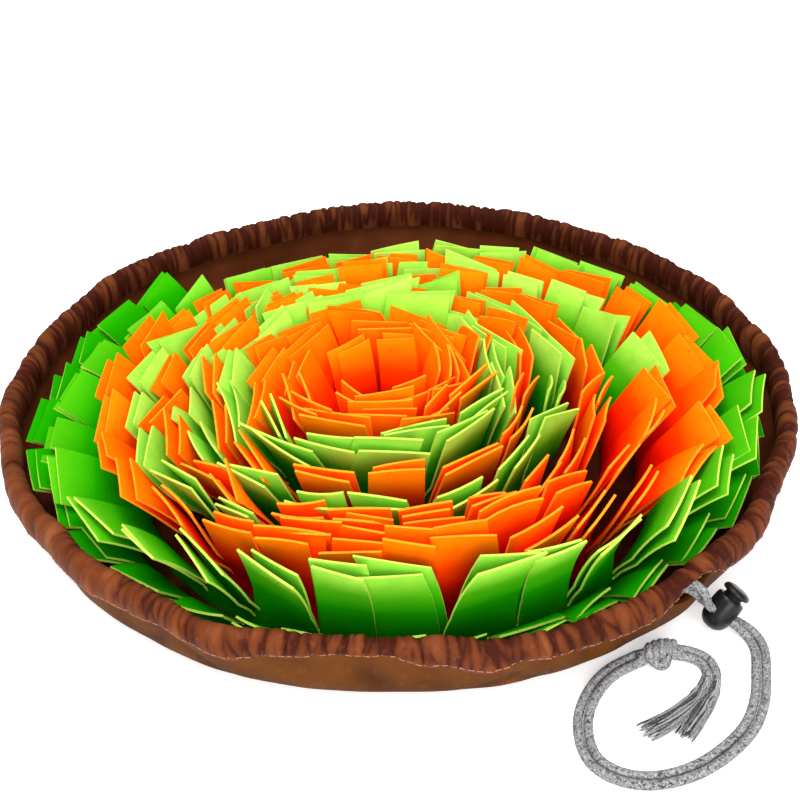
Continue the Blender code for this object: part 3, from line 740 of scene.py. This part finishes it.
def casing_point_rows(rng):
    """Points of the casing, a grid of its folded profile's rows by steps round the rim."""
    azimuth = np.arange(CASING_STEPS) * TURN / CASING_STEPS
    profile = hermite([(out, 0.0, height) for out, height in CASING_PROFILE], CASING_PROFILE_STEP)
    wanted, given = np.linspace(0, 1, CASING_ROWS), np.linspace(0, 1, len(profile))
    profile = np.column_stack([np.interp(wanted, given, profile[:, k]) for k in (0, 2)])
    relief, level = crease_field(RIM_RADIUS * TURN, rng)
    rim, rise = rim_radius(azimuth), rim_rise(azimuth)
    seam = round_table(azimuth, SEAM_HEIGHT, 1, True)
    top = max(height for _, height in CASING_PROFILE) + rise
    bottom = CASING_PROFILE[0][1]
    squeeze = (top - seam) / (top - bottom - rise)
    grid = np.zeros((CASING_ROWS, CASING_STEPS, 3))
    inner = np.zeros((CASING_ROWS, CASING_STEPS))
    tangent = np.gradient(profile, axis=0)
    tangent /= np.linalg.norm(tangent, axis=1)[:, None]
    tangent = tangent if tangent[CASING_ROWS // 2][0] < 0 else -tangent
    for row, (out, height) in enumerate(profile):
        share = row / (CASING_ROWS - 1)
        outer = share < CASING_TOP_SHARE
        kept = math.sin(math.pi * min(1.0, 0.12 + share))
        swell = np.clip(relief[row] + RELIEF_LIFT, *RELIEF_LIMITS)
        swell = swell * (SEAM_RELIEF + (1.0 - SEAM_RELIEF) * kept)
        normal_out, normal_up = tangent[row][1], -tangent[row][0]
        z = height + rise
        if outer:
            z = top - (top - z) * squeeze
        r = rim + out + normal_out * swell
        z = z + normal_up * swell
        grid[row, :, 0] = r * np.cos(azimuth)
        grid[row, :, 1] = r * np.sin(azimuth)
        grid[row, :, 2] = z
        # painted shade: from LINING_SHARE on, the inner side takes the nylon's shade tones
        inner[row] = min(1.0, max(0.0, (share - LINING_SHARE) * 6.0))
    return grid * MM, level, inner


def build_casing(paints):
    """The puckered strip round the rim, and the grid of points that its stitches follow."""
    rng = random.Random(11)
    grid, level, inner = casing_point_rows(rng)
    faces = grid_faces(CASING_ROWS, CASING_STEPS, closed=True)
    casing = mesh_piece("casing", grid.reshape(-1, 3), faces, [paints["casing"]])
    set_attribute(casing, "fold", level.reshape(-1))
    set_attribute(casing, "inner", inner.reshape(-1))
    outward(casing)
    thicken(casing, CASING_CLOTH)
    settle(casing, 80.0)
    return casing, grid


def stitch_tree(material):
    """A tree that lays short stitches end to end along a seam, and its sizes' sockets."""
    tree = bpy.data.node_groups.new("stitch_row", "GeometryNodeTree")
    face = tree.interface
    face.new_socket("Seam", in_out="INPUT", socket_type="NodeSocketGeometry")
    sizes = {}
    for name, value in STITCH_SIZES:
        socket = face.new_socket(name, in_out="INPUT", socket_type="NodeSocketFloat")
        socket.default_value = value
        sizes[name] = socket.identifier
    face.new_socket("Stitches", in_out="OUTPUT", socket_type="NodeSocketGeometry")
    nodes, links = tree.nodes, tree.links
    start = nodes.new("NodeGroupInput")
    end = nodes.new("NodeGroupOutput")
    seam = nodes.new("GeometryNodeMeshToCurve")
    spread = nodes.new("GeometryNodeCurveToPoints")
    spread.mode = "LENGTH"
    line = nodes.new("GeometryNodeCurvePrimitiveLine")
    line.mode = "DIRECTION"
    line.inputs["Direction"].default_value = (0.0, 0.0, 1.0)
    shape = nodes.new("GeometryNodeCurvePrimitiveCircle")
    shape.inputs["Resolution"].default_value = 6
    refine = nodes.new("GeometryNodeResampleCurve")
    refine.inputs["Count"].default_value = 5
    taper = nodes.new("GeometryNodeSetCurveRadius")
    along = nodes.new("GeometryNodeSplineParameter")
    bow = nodes.new("ShaderNodeFloatCurve")
    bow.mapping.curves[0].points[0].location = (0.0, STITCH_TAPER)
    bow.mapping.curves[0].points[1].location = (1.0, STITCH_TAPER)
    bow.mapping.curves[0].points.new(0.5, 1.0)
    tube = nodes.new("GeometryNodeCurveToMesh")
    tube.inputs["Fill Caps"].default_value = True
    place = nodes.new("GeometryNodeInstanceOnPoints")
    real = nodes.new("GeometryNodeRealizeInstances")
    finish = nodes.new("GeometryNodeSetMaterial")
    finish.inputs["Material"].default_value = material
    for source, out, target, into in (
            (start, "Seam", seam, "Mesh"), (seam, "Curve", spread, "Curve"),
            (start, "Pitch", spread, "Length"), (start, "Stitch Length", line, "Length"),
            (start, "Thread Radius", shape, "Radius"), (line, "Curve", refine, "Curve"),
            (refine, "Curve", taper, "Curve"), (along, "Factor", bow, "Value"),
            (bow, "Value", taper, "Radius"), (taper, "Curve", tube, "Curve"),
            (shape, "Curve", tube, "Profile Curve"), (spread, "Points", place, "Points"),
            (spread, "Rotation", place, "Rotation"), (tube, "Mesh", place, "Instance"),
            (place, "Instances", real, "Geometry"), (real, "Geometry", finish, "Geometry"),
            (finish, "Geometry", end, "Stitches")):
        links.new(source.outputs[out], target.inputs[into])
    return tree, sizes


def build_stitches(paints, grid):
    """A row of stitches a little above the casing's lower edge."""
    seam = grid[STITCH_ROW][::2]
    away = seam * np.array((1.0, 1.0, 0.0))
    away /= np.linalg.norm(away, axis=1)[:, None]
    seam = seam + away * STITCH_LIFT
    mesh = bpy.data.meshes.new("casing_stitches")
    mesh.from_pydata([tuple(p) for p in seam], [(k, k + 1) for k in range(len(seam) - 1)], [])
    piece = bpy.data.objects.new("casing_stitches", mesh)
    bpy.context.scene.collection.objects.link(piece)
    tree, sockets = stitch_tree(paints["thread"])
    modifier = piece.modifiers.new("stitches", "NODES")
    modifier.node_group = tree
    for name, value in STITCH_SIZES:
        modifier[sockets[name]] = value
    settle(piece, 60.0)
    return piece


# ---- felt ------------------------------------------------------------------------------------
def blended(azimuth, sides):
    """A length that is given at the right, back, left and front, at an azimuth between them."""
    right, back, left, front = sides
    x, y = math.cos(azimuth), math.sin(azimuth)
    return (right if x > 0.0 else left) * x * x + (back if y > 0.0 else front) * y * y


def colour_runs(colours):
    """Strips of one colour: colour, first arc, how many arcs; a run may pass over +X."""
    arcs = len(colours)
    if len(set(colours)) == 1:
        return [(colours[0], 0, arcs)]
    first = next(k for k in range(arcs) if colours[k] != colours[k - 1])
    runs = []
    for shift in range(arcs):
        arc = (first + shift) % arcs
        if runs and runs[-1][0] == colours[arc]:
            runs[-1][2] += 1
        else:
            runs.append([colours[arc], arc, 1])
    return [tuple(run) for run in runs]


def tab_habits(name, azimuth, reaches, heights, rng):
    """How one tab stands: its length, lean at foot and tip, sideways lean, twist and cup."""
    rise = blended(azimuth, heights) - FOOT_HEIGHT - BAND_HEIGHT
    reach = blended(azimuth, reaches)
    petal = name in PETAL_RINGS
    sideways = math.cos(azimuth) ** 2
    loose = 0.5 if petal else 0.7 + 0.5 * sideways
    looser_face = 0.02 if petal else 0.09 * sideways
    free = math.hypot(reach, rise)
    lean = math.atan2(reach + rng.gauss(0.0, TAB_STRAY["reach"] * loose), rise)
    wild = rng.random() < WILD_SHARE
    curl = rng.gauss(*(PETAL_CURL if petal else TAB_CURL))
    toward = VIEW_TURN * math.cos(azimuth)
    return {
        "free": free + rng.gauss(0.0, TAB_STRAY["free"]),
        "low": lean - 0.5 * curl,
        "high": lean + 0.5 * curl,
        "sway": (rng.gauss(0.0, TAB_STRAY["sway"])
                 + (rng.choice((-WILD_SWAY, WILD_SWAY)) if wild else 0.0)),
        "face": toward + rng.gauss(0.0, TAB_STRAY["face"] + looser_face),
        "twist": rng.gauss(0.0, TAB_STRAY["twist"]) * (WILD_TWIST if wild else 1.0),
        "cup": rng.gauss(0.0, TAB_STRAY["cup"]),
        "slant": rng.gauss(0.0, TAB_STRAY["slant"]),
        "tone": min(1.0, max(0.0, rng.gauss(0.5, TAB_STRAY["tone"]))),
        "wide": 1.0 + rng.gauss(0.0, TAB_STRAY["wide"]),
    }


def ply_habits(tab, spread, rng):
    """One of a tab's two plies: it follows its twin closely, its tip a little further out or in."""
    ply = dict(tab)
    opened = spread / tab["free"]
    ply["low"] += opened
    ply["high"] += opened + rng.gauss(0.0, 0.04)
    for habit, stray in PLY_STRAY:
        ply[habit] += rng.gauss(0.0, stray)
    return ply


def tab_painted_light(name, azimuth):
    """How far painted light reaches up a tab: the outer rings' petals stay in deeper painted shade."""
    if name == "p":
        return 0.34 + 0.2 * max(0.0, math.sin(azimuth))
    if name == "a":
        return 0.58 + 0.36 * math.sin(azimuth) ** 2
    return 1.0


def tab_points(base, out, along, width, habits):
    """Rows of points up one tab's middle surface, and each row's share of the way up."""
    place = Vector(base)
    rows, rises = [], []
    up = Vector((0.0, 0.0, 1.0))
    for step in range(TAB_ROWS + 1):
        t = step / TAB_ROWS
        lean = (habits["low"] + (habits["high"] - habits["low"]) * t) * min(1.0, 0.25 + t * 4.0)
        ahead = (out * math.sin(lean) + up * math.cos(lean) + along * habits["sway"] * t).normalized()
        if step:
            place = place + ahead * habits["free"] / TAB_ROWS
        turn = habits["face"] * min(1.0, 3.0 * t) + habits["twist"] * t * t
        facing = ahead.cross(along).normalized()
        level = (along * math.cos(turn) + facing * math.sin(turn)).normalized()
        bulge = level.cross(ahead).normalized()
        row = []
        for column in range(TAB_COLUMNS + 1):
            share = column / TAB_COLUMNS - 0.5
            spread = 1.0 + (habits["wide"] - 1.0) * t
            cut = habits["slant"] * width * share * 2.0 if step == TAB_ROWS else 0.0
            cup = habits["cup"] * (4.0 * share * share - 0.4) * t
            row.append(place + level * share * width * spread + bulge * cup + ahead * cut)
        rows.append(row)
        rises.append(t)
    return rows, rises


def build_strip(ring, run, shift, label, paints, rng):
    """One felt strip, folded along its foot and cut into tabs, both plies standing."""
    name, start_deg, sweep_deg, arcs, tabs, mid_x, mid_y, foot, reaches, heights, _ = ring
    colour, first_arc, arc_count = run
    half, wider_back = TWIN_STRIPS.get(name, (0.0, 0.0))
    shift *= half
    foot = foot + shift
    pitch = math.radians(sweep_deg) / (arcs * tabs)
    count = arc_count * tabs
    low_cut = math.radians(start_deg) + (first_arc * tabs + (0.5 if label else 0.0)) * pitch
    middle = Vector((mid_x, mid_y + math.copysign(wider_back, shift), FOOT_HEIGHT + 0.5 * FELT / MM))
    columns = TAB_COLUMNS + 1
    points, faces, rises, tones, lengths = [], [], [], [], []
    soles = {}                       # each tab's first point, by its number and side
    stands = [tab_habits(name, low_cut + (k + 0.5) * pitch, reaches, heights, rng)
              for k in range(count)]
    for side in (1, -1):
        moves = [rng.uniform(-CUT_STRAY, CUT_STRAY) * pitch for _ in range(count - 1)]
        cuts = [low_cut + k * pitch + moved for k, moved in enumerate([0.0, *moves, 0.0])]
        for tab in range(count):
            azimuth = 0.5 * (cuts[tab] + cuts[tab + 1])
            out = Vector((math.cos(azimuth), math.sin(azimuth), 0.0))
            along = Vector((-out.y, out.x, 0.0))
            lie = side * (0.5 if name in PETAL_RINGS else 0.8) * PLY_SPREAD + 0.3 * shift
            habits = ply_habits(stands[tab], lie, rng)
            # how far up this tab its painted light reaches
            painted_light_reach = tab_painted_light(name, azimuth)
            lengths.append(habits["free"] + BAND_HEIGHT)
            radius = foot + side * PLY_FOOT
            width = (cuts[tab + 1] - cuts[tab]) * radius - TAB_GAP
            sole = middle + out * radius
            rows, risen = tab_points(sole + Vector((0.0, 0.0, BAND_HEIGHT)), out, along, width, habits)
            low = [[sole + along * (c / TAB_COLUMNS - 0.5) * width + Vector((0, 0, h))
                    for c in range(columns)] for h in (0.0, 0.5 * BAND_HEIGHT)]
            start = len(points)
            for row, rise in zip(low + rows, [0.0, 0.0] + risen):
                points.extend(p * MM for p in row)
                rises.extend([rise * painted_light_reach] * columns)
                tones.extend([habits["tone"]] * columns)
            faces += grid_faces(len(low) + len(rows), columns, start=start)
            if tab:
                before = soles[tab - 1, side]
                for level in range(2):
                    a = before + level * columns + TAB_COLUMNS
                    b = start + level * columns
                    faces.append((a, b, b + columns, a + columns))
            soles[tab, side] = start
    for tab in range(count):
        outer, inner = soles[tab, 1], soles[tab, -1]
        for column in range(TAB_COLUMNS):
            faces.append((outer + column + 1, outer + column, inner + column, inner + column + 1))
        if tab:
            a, b = soles[tab - 1, 1] + TAB_COLUMNS, soles[tab - 1, -1] + TAB_COLUMNS
            faces.append((outer, a, b, inner))
    piece = mesh_piece(f"felt_{name}{label}_{COLOUR_NAMES[colour]}", points, faces,
                       [paints[colour], paints[colour + "_cut"]])
    outward(piece)
    set_attribute(piece, "rise", rises)
    set_attribute(piece, "tone", tones)
    thicken(piece, FELT, rim_slot=1)
    settle(piece, 45.0)
    replaced = [f"fringe_{name}{(first_arc + k) % arcs + 1}" for k in range(arc_count)]
    flat = (count * pitch * foot * MM, 2.0 * sum(lengths) / len(lengths) * MM)
    return piece, replaced, flat, f"{COLOUR_NAMES[colour]}_felt"


# ---- cord ------------------------------------------------------------------------------------
def pair_points(rows, side):
    """Middle of one cord of the pair, in metres, from rows of the pair's route."""
    points = []
    for index, row in enumerate(rows):
        ahead = Vector(rows[min(index + 1, len(rows) - 1)][:3]) - Vector(rows[max(index - 1, 0)][:3])
        ahead.normalize()
        level = ahead.cross(Vector((0.0, 0.0, 1.0))).normalized()
        upward = level.cross(ahead)
        turn = math.radians(row[3])
        offset = level * math.cos(turn) + upward * math.sin(turn)
        points.append(Vector(row[:3]) * MM + offset * side * PAIR_HALF)
    return points


def carried_frames(points):
    """Two directions across a path at each point, carried along it without twisting."""
    ahead = np.gradient(points, axis=0)
    ahead /= np.linalg.norm(ahead, axis=1)[:, None]
    side = np.cross(ahead[0], (0.0, 0.0, 1.0))
    if np.linalg.norm(side) < 0.1:
        side = np.cross(ahead[0], (0.0, 1.0, 0.0))
    sides = []
    for direction in ahead:
        side = side - direction * np.dot(side, direction)
        side = side / np.linalg.norm(side)
        sides.append(side)
    sides = np.array(sides)
    return sides, np.cross(ahead, sides)


def braid_relief(around, along, cells):
    """Height, 0 to 1, and fleck of a plain braid at a turn around and a distance along."""
    p = BRAID_STRANDS * (around / TURN + along / BRAID_PITCH)
    q = BRAID_STRANDS * (around / TURN - along / BRAID_PITCH)
    i, j = np.floor(p).astype(int), np.floor(q).astype(int)
    over = (i + j) % 2 == 0
    fp, fq = p - i, q - j
    across = np.where(over, fp, fq)
    lengthwise = np.where(over, fq, fp)
    height = np.sqrt(np.clip(1.0 - (2.0 * across - 1.0) ** 2, 0.0, 1.0))
    height *= np.sin(np.pi * lengthwise) ** 0.4
    strand = np.where(over, i % BRAID_STRANDS, BRAID_STRANDS + j % BRAID_STRANDS)
    cell = (strand * FLECK_KEYS[0] + np.where(over, j, i) * FLECK_KEYS[1]) % FLECK_COUNT
    return height, cells[cell]


def ring_points(middle, side, top, turns, reach):
    """A ring of points round a path's point, at a distance that may change round it."""
    return (middle + side * (reach * np.cos(turns))[:, None]
            + top * (reach * np.sin(turns))[:, None])


def braided_tube(points, radius, seed):
    """Points, faces, fleck and hollow of a braided cord along a path, with closed ends."""
    rng = random.Random(seed)
    cells = np.array([rng.uniform(0.0, 1.0) for _ in range(FLECK_COUNT)])
    path = hermite([tuple(p) for p in points], BRAID_STEP)
    sides, tops = carried_frames(path)
    turns = np.arange(BRAID_AROUND) * TURN / BRAID_AROUND
    shell, flecks, hollows = [], [], []
    for middle, side, top, along in zip(path, sides, tops, run_lengths(path)):
        height, fleck = braid_relief(turns, along, cells)
        reach = radius - BRAID_DEPTH + BRAID_DEPTH * BRAID_FULLNESS * height
        shell.append(ring_points(middle, side, top, turns, reach))
        flecks.append(fleck)
        hollows.append(height)
    count = len(path)
    points = np.vstack([*shell, path[:1], path[-1:]])
    faces = grid_faces(count, BRAID_AROUND, closed=True)
    first, last = count * BRAID_AROUND, count * BRAID_AROUND + 1
    low = (count - 1) * BRAID_AROUND
    for k in range(BRAID_AROUND):
        after = (k + 1) % BRAID_AROUND
        faces.append((first, after, k))
        faces.append((last, low + k, low + after))
    flecks = np.concatenate([*flecks, [0.5, 0.5]])
    hollows = np.concatenate([*hollows, [0.5, 0.5]])
    return points, faces, flecks, hollows


def joined(parts):
    """Several meshes' points, faces, flecks and hollows as one."""
    points, faces, flecks, hollows = [], [], [], []
    for part_points, part_faces, part_flecks, part_hollows in parts:
        start = len(points)
        points.extend(part_points)
        faces.extend(tuple(k + start for k in face) for face in part_faces)
        flecks.extend(part_flecks)
        hollows.extend(part_hollows)
    return points, faces, flecks, hollows


def cotton_piece(name, parts, paints):
    """One object in grey cotton from several meshes."""
    points, faces, flecks, hollows = joined(parts)
    piece = mesh_piece(name, points, faces, [paints["cotton"]])
    set_attribute(piece, "fleck", flecks)
    set_attribute(piece, "hollow", hollows)
    piece.data.shade_smooth()
    return piece


def build_cords(paints):
    """Both cords from the casing's mouth through the lock to the knot, each with its path."""
    rows = hermite(CORD_ROUTE, ROUTE_STEP)
    inside_knot = Vector(KNOT_MIDDLE) * MM
    made = []
    for name, side, seed in (("drawcord_a", 1.0, 5), ("drawcord_b", -1.0, 6)):
        path = pair_points(rows, side)
        path.append(path[-1].lerp(inside_knot, CORD_INTO_KNOT))
        made.append((cotton_piece(name, [braided_tube(path, CORD_RADIUS, seed)], paints), path))
    return made


def knot_path(places):
    """Places given ahead, to the left and up from the knot's middle, as points in metres."""
    heading = Vector((math.cos(KNOT_HEADING), math.sin(KNOT_HEADING), 0.0))
    level, up = Vector((-heading.y, heading.x, 0.0)), Vector((0.0, 0.0, 1.0))
    middle = Vector(KNOT_MIDDLE)
    return [(middle + heading * a + level * b + up * c) * MM for a, b, c in places]


def knot_wraps():
    """The wraps of the knot: side by side and flattened, as both cords are drawn tight."""
    places = []
    for step in range(WRAP_STEPS + 1):
        along = 2.0 * step / WRAP_STEPS - 1.0
        turn = TURN * WRAPS * step / WRAP_STEPS + WRAP_START
        swell = 1.0 - WRAP_TAPER * along ** 2
        places.append((WRAPS_SHIFT + WRAPS_HALF * along + WRAP_LEAN * math.cos(turn),
                       WRAP_WIDE * swell * math.cos(turn), WRAP_HIGH * swell * math.sin(turn)))
    return knot_path(places)


def build_knot(paints):
    """The knot: its wraps, both cords through them and the end of its loop."""
    parts = [braided_tube(knot_wraps(), WRAP_RADIUS, 21),
             braided_tube(knot_path(KNOT_CORE), CORE_RADIUS, 22),
             braided_tube(knot_path(KNOT_LOBE), LOBE_RADIUS, 23)]
    return cotton_piece("knot", parts, paints)


def yarn_tube(path, radius, fleck):
    """Points, faces, fleck and hollow of one loose yarn, narrow at its tip."""
    sides, tops = carried_frames(path)
    turns = np.arange(YARN_SIDES) * TURN / YARN_SIDES
    reaches = [radius] * (len(path) - 1) + [radius * YARN_TIP]
    points = np.vstack([ring_points(middle, side, top, turns, reach)
                        for middle, side, top, reach in zip(path, sides, tops, reaches)])
    faces = grid_faces(len(path), YARN_SIDES, closed=True)
    faces.append(tuple(range(YARN_SIDES))[::-1])
    last = (len(path) - 1) * YARN_SIDES
    faces.append(tuple(last + k for k in range(YARN_SIDES)))
    return points, faces, [fleck] * len(points), [0.7] * len(points)


def build_frayed_end(name, side, ends, paints, seed):
    """One cord's end past the knot: braided, then open into loose kinked yarns."""
    rng = random.Random(seed)
    start = pair_points(hermite(TAIL_ROUTE, TAIL_STEP), side)
    whole = max(4, round(FRAY_START * len(start)))
    braid = [start[0].lerp(Vector(KNOT_MIDDLE) * MM, TAIL_INTO_KNOT), *start[:whole]]
    parts = [braided_tube(braid, TAIL_RADIUS, seed)]
    way = [*start[whole:], *(Vector(end) * MM for end in ends)]
    roots = start[whole - 2:whole]
    root_way = (roots[1] - roots[0]).normalized()
    root_level = Vector((-root_way.y, root_way.x, 0.0))
    up = Vector((0.0, 0.0, 1.0))
    for _ in range(YARNS):
        turn = rng.uniform(0.0, TURN)
        reach = math.sqrt(rng.random())
        offset = Vector((reach * math.cos(turn), reach * math.sin(turn)))
        bends = [roots[0] + (root_level * offset.x + up * offset.y) * YARN_ROOT]
        before = roots[1]
        for stage, point in enumerate(way):
            heading = (point - before).normalized()
            across = Vector((-heading.y, heading.x, 0.0))
            opened = (stage + 1) / len(way)
            spread = (YARN_SPREAD[0] + YARN_SPREAD[1] * opened) * MM
            wander = Vector((rng.uniform(-1, 1), rng.uniform(-1, 1), rng.uniform(-0.6, 0.6)))
            wander = wander * (YARN_WANDER[0] + YARN_WANDER[1] * opened) * MM
            height = offset.y * spread * BUNCH_FLATNESS
            bends.append(point + across * offset.x * spread + up * height + wander)
            before = point
        path = hermite([tuple(bend) for bend in bends], YARN_STEP)
        path = path[:max(4, int(len(path) * rng.uniform(0.80, 1.0)))]
        path[:, 2] = np.maximum(path[:, 2], YARN_FLOOR)
        parts.append(yarn_tube(path, rng.uniform(0.34, 0.52) * MM, rng.choice(YARN_TONES)))
    return cotton_piece(name, parts, paints)


# ---- lock ------------------------------------------------------------------------------------
def lock_frame():
    """Where the lock sits: X along the cords, Z out through the button."""
    before, here, after = (Vector(CORD_ROUTE[LOCK_ROW + shift][:3]) for shift in (-1, 0, 1))
    ahead = (after - before).normalized()
    level = ahead.cross(Vector((0.0, 0.0, 1.0))).normalized()
    upward = level.cross(ahead)
    turn = math.radians(CORD_ROUTE[LOCK_ROW][3])
    axis = upward * math.cos(turn) - level * math.sin(turn)
    across = axis.cross(ahead)
    return Matrix.Translation(here * MM) @ Matrix((ahead, across, axis)).transposed().to_4x4()


def turned_piece(name, profile, poles, paints, sides=LOCK_SIDES):
    """A closed turned solid about its own Z, from a profile that runs from the top down."""
    turns = np.arange(sides) * TURN / sides
    points = []
    for radius, height in profile:
        points += [(radius * math.cos(t) * MM, radius * math.sin(t) * MM, height * MM) for t in turns]
    faces = [f[::-1] for f in grid_faces(len(profile), sides, closed=True)]
    last = (len(profile) - 1) * sides
    for pole, start, flip in ((poles[0], 0, False), (poles[1], last, True)):
        points.append((0.0, 0.0, pole * MM))
        for k in range(sides):
            face = (start + k, start + (k + 1) % sides, len(points) - 1)
            faces.append(face[::-1] if flip else face)
    return mesh_piece(name, points, faces, [paints["plastic"]])


def hole_block(paints):
    """A bar with round sides that cuts the hole for both cords."""
    outline = []
    for side in (1.0, -1.0):
        for step in range(HOLE_STEPS + 1):
            angle = side * math.radians(90.0) - math.radians(180.0) * step / HOLE_STEPS
            outline.append((side * HOLE_STRAIGHT + HOLE_BEND * math.cos(angle),
                            HOLE_BEND * math.sin(angle)))
    count = len(outline)
    points = [(end * HOLE_REACH * MM, y * MM, z * MM) for end in (-1.0, 1.0) for y, z in outline]
    faces = [tuple(range(count)), tuple(range(2 * count - 1, count - 1, -1))]
    faces += [(k, count + k, count + (k + 1) % count, (k + 1) % count) for k in range(count)]
    return mesh_piece("hole_cutter", points, faces, [paints["plastic"]])


def build_lock(paints):
    """The barrel, bored from above and holed across, and the button in its bore."""
    place = lock_frame()
    barrel = turned_piece("lock_barrel_body", BARREL, BARREL_POLES, paints)
    button = turned_piece("lock_button_cap", BUTTON, BUTTON_POLES, paints)
    bore = turned_piece("bore_cutter", BORE, BORE_POLES, paints, BORE_SIDES)
    hole = hole_block(paints)
    for piece in (barrel, button, bore, hole):
        outward(piece)
    for cutter in (bore, hole):
        boolean = barrel.modifiers.new(cutter.name, "BOOLEAN")
        boolean.operation = "DIFFERENCE"
        boolean.solver = "EXACT"
        boolean.object = cutter
    round_edge = barrel.modifiers.new("soft_edges", "BEVEL")
    round_edge.width = EDGE_ROUNDING
    round_edge.segments = 2
    round_edge.limit_method = "ANGLE"
    round_edge.angle_limit = math.radians(40.0)
    settle(barrel, 35.0)
    settle(button, 35.0)
    for cutter in (bore, hole):
        bpy.data.objects.remove(cutter, do_unlink=True)
    for piece in (barrel, button):
        piece.data.transform(place)
    return barrel, button


# ---- everything together ---------------------------------------------------------------------
def main():
    """Builds every piece, hangs each one on its body and hides the solids that the pieces replace."""
    paints = make_paints()
    place_camera()
    cords = build_cords(paints)
    knot = build_knot(paints)
    end_a = build_frayed_end("frayed_end_a", 1.0, TAIL_ENDS[0], paints, 31)
    end_b = build_frayed_end("frayed_end_b", -1.0, TAIL_ENDS[1], paints, 32)
    barrel, button = build_lock(paints)
    set_studio(paints)

    dish = build_dish(paints)
    casing, casing_grid = build_casing(paints)
    stitches = build_stitches(paints, casing_grid)
    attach(dish, "mat")
    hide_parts("dish_shell")
    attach(casing, "mat")
    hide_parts("rim_casing")
    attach(stitches, "mat")

    for ring in RINGS:
        name, colours = ring[0], ring[-1]
        rng = random.Random(FIRST_SEED + ord(name))
        sides = ((1.0, ""), (-1.0, "_inner")) if name in TWIN_STRIPS else ((0.0, ""),)
        for run in colour_runs(colours):
            for shift, label in sides:
                strip, replaced, flat, slot = build_strip(ring, run, shift, label, paints, rng)
                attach(strip, "mat")
                if not label:
                    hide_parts(*replaced)

    for piece, node in ((knot, "cord_knot"), (end_a, "cord_tail_a"), (end_b, "cord_tail_b"),
                        (cords[0][0], "cord_a"), (cords[1][0], "cord_b")):
        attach(piece, "mat")
        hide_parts(node)
    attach(barrel, "mat")
    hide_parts("lock_barrel")
    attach(button, "lock_button")
    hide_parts("lock_button")


main()
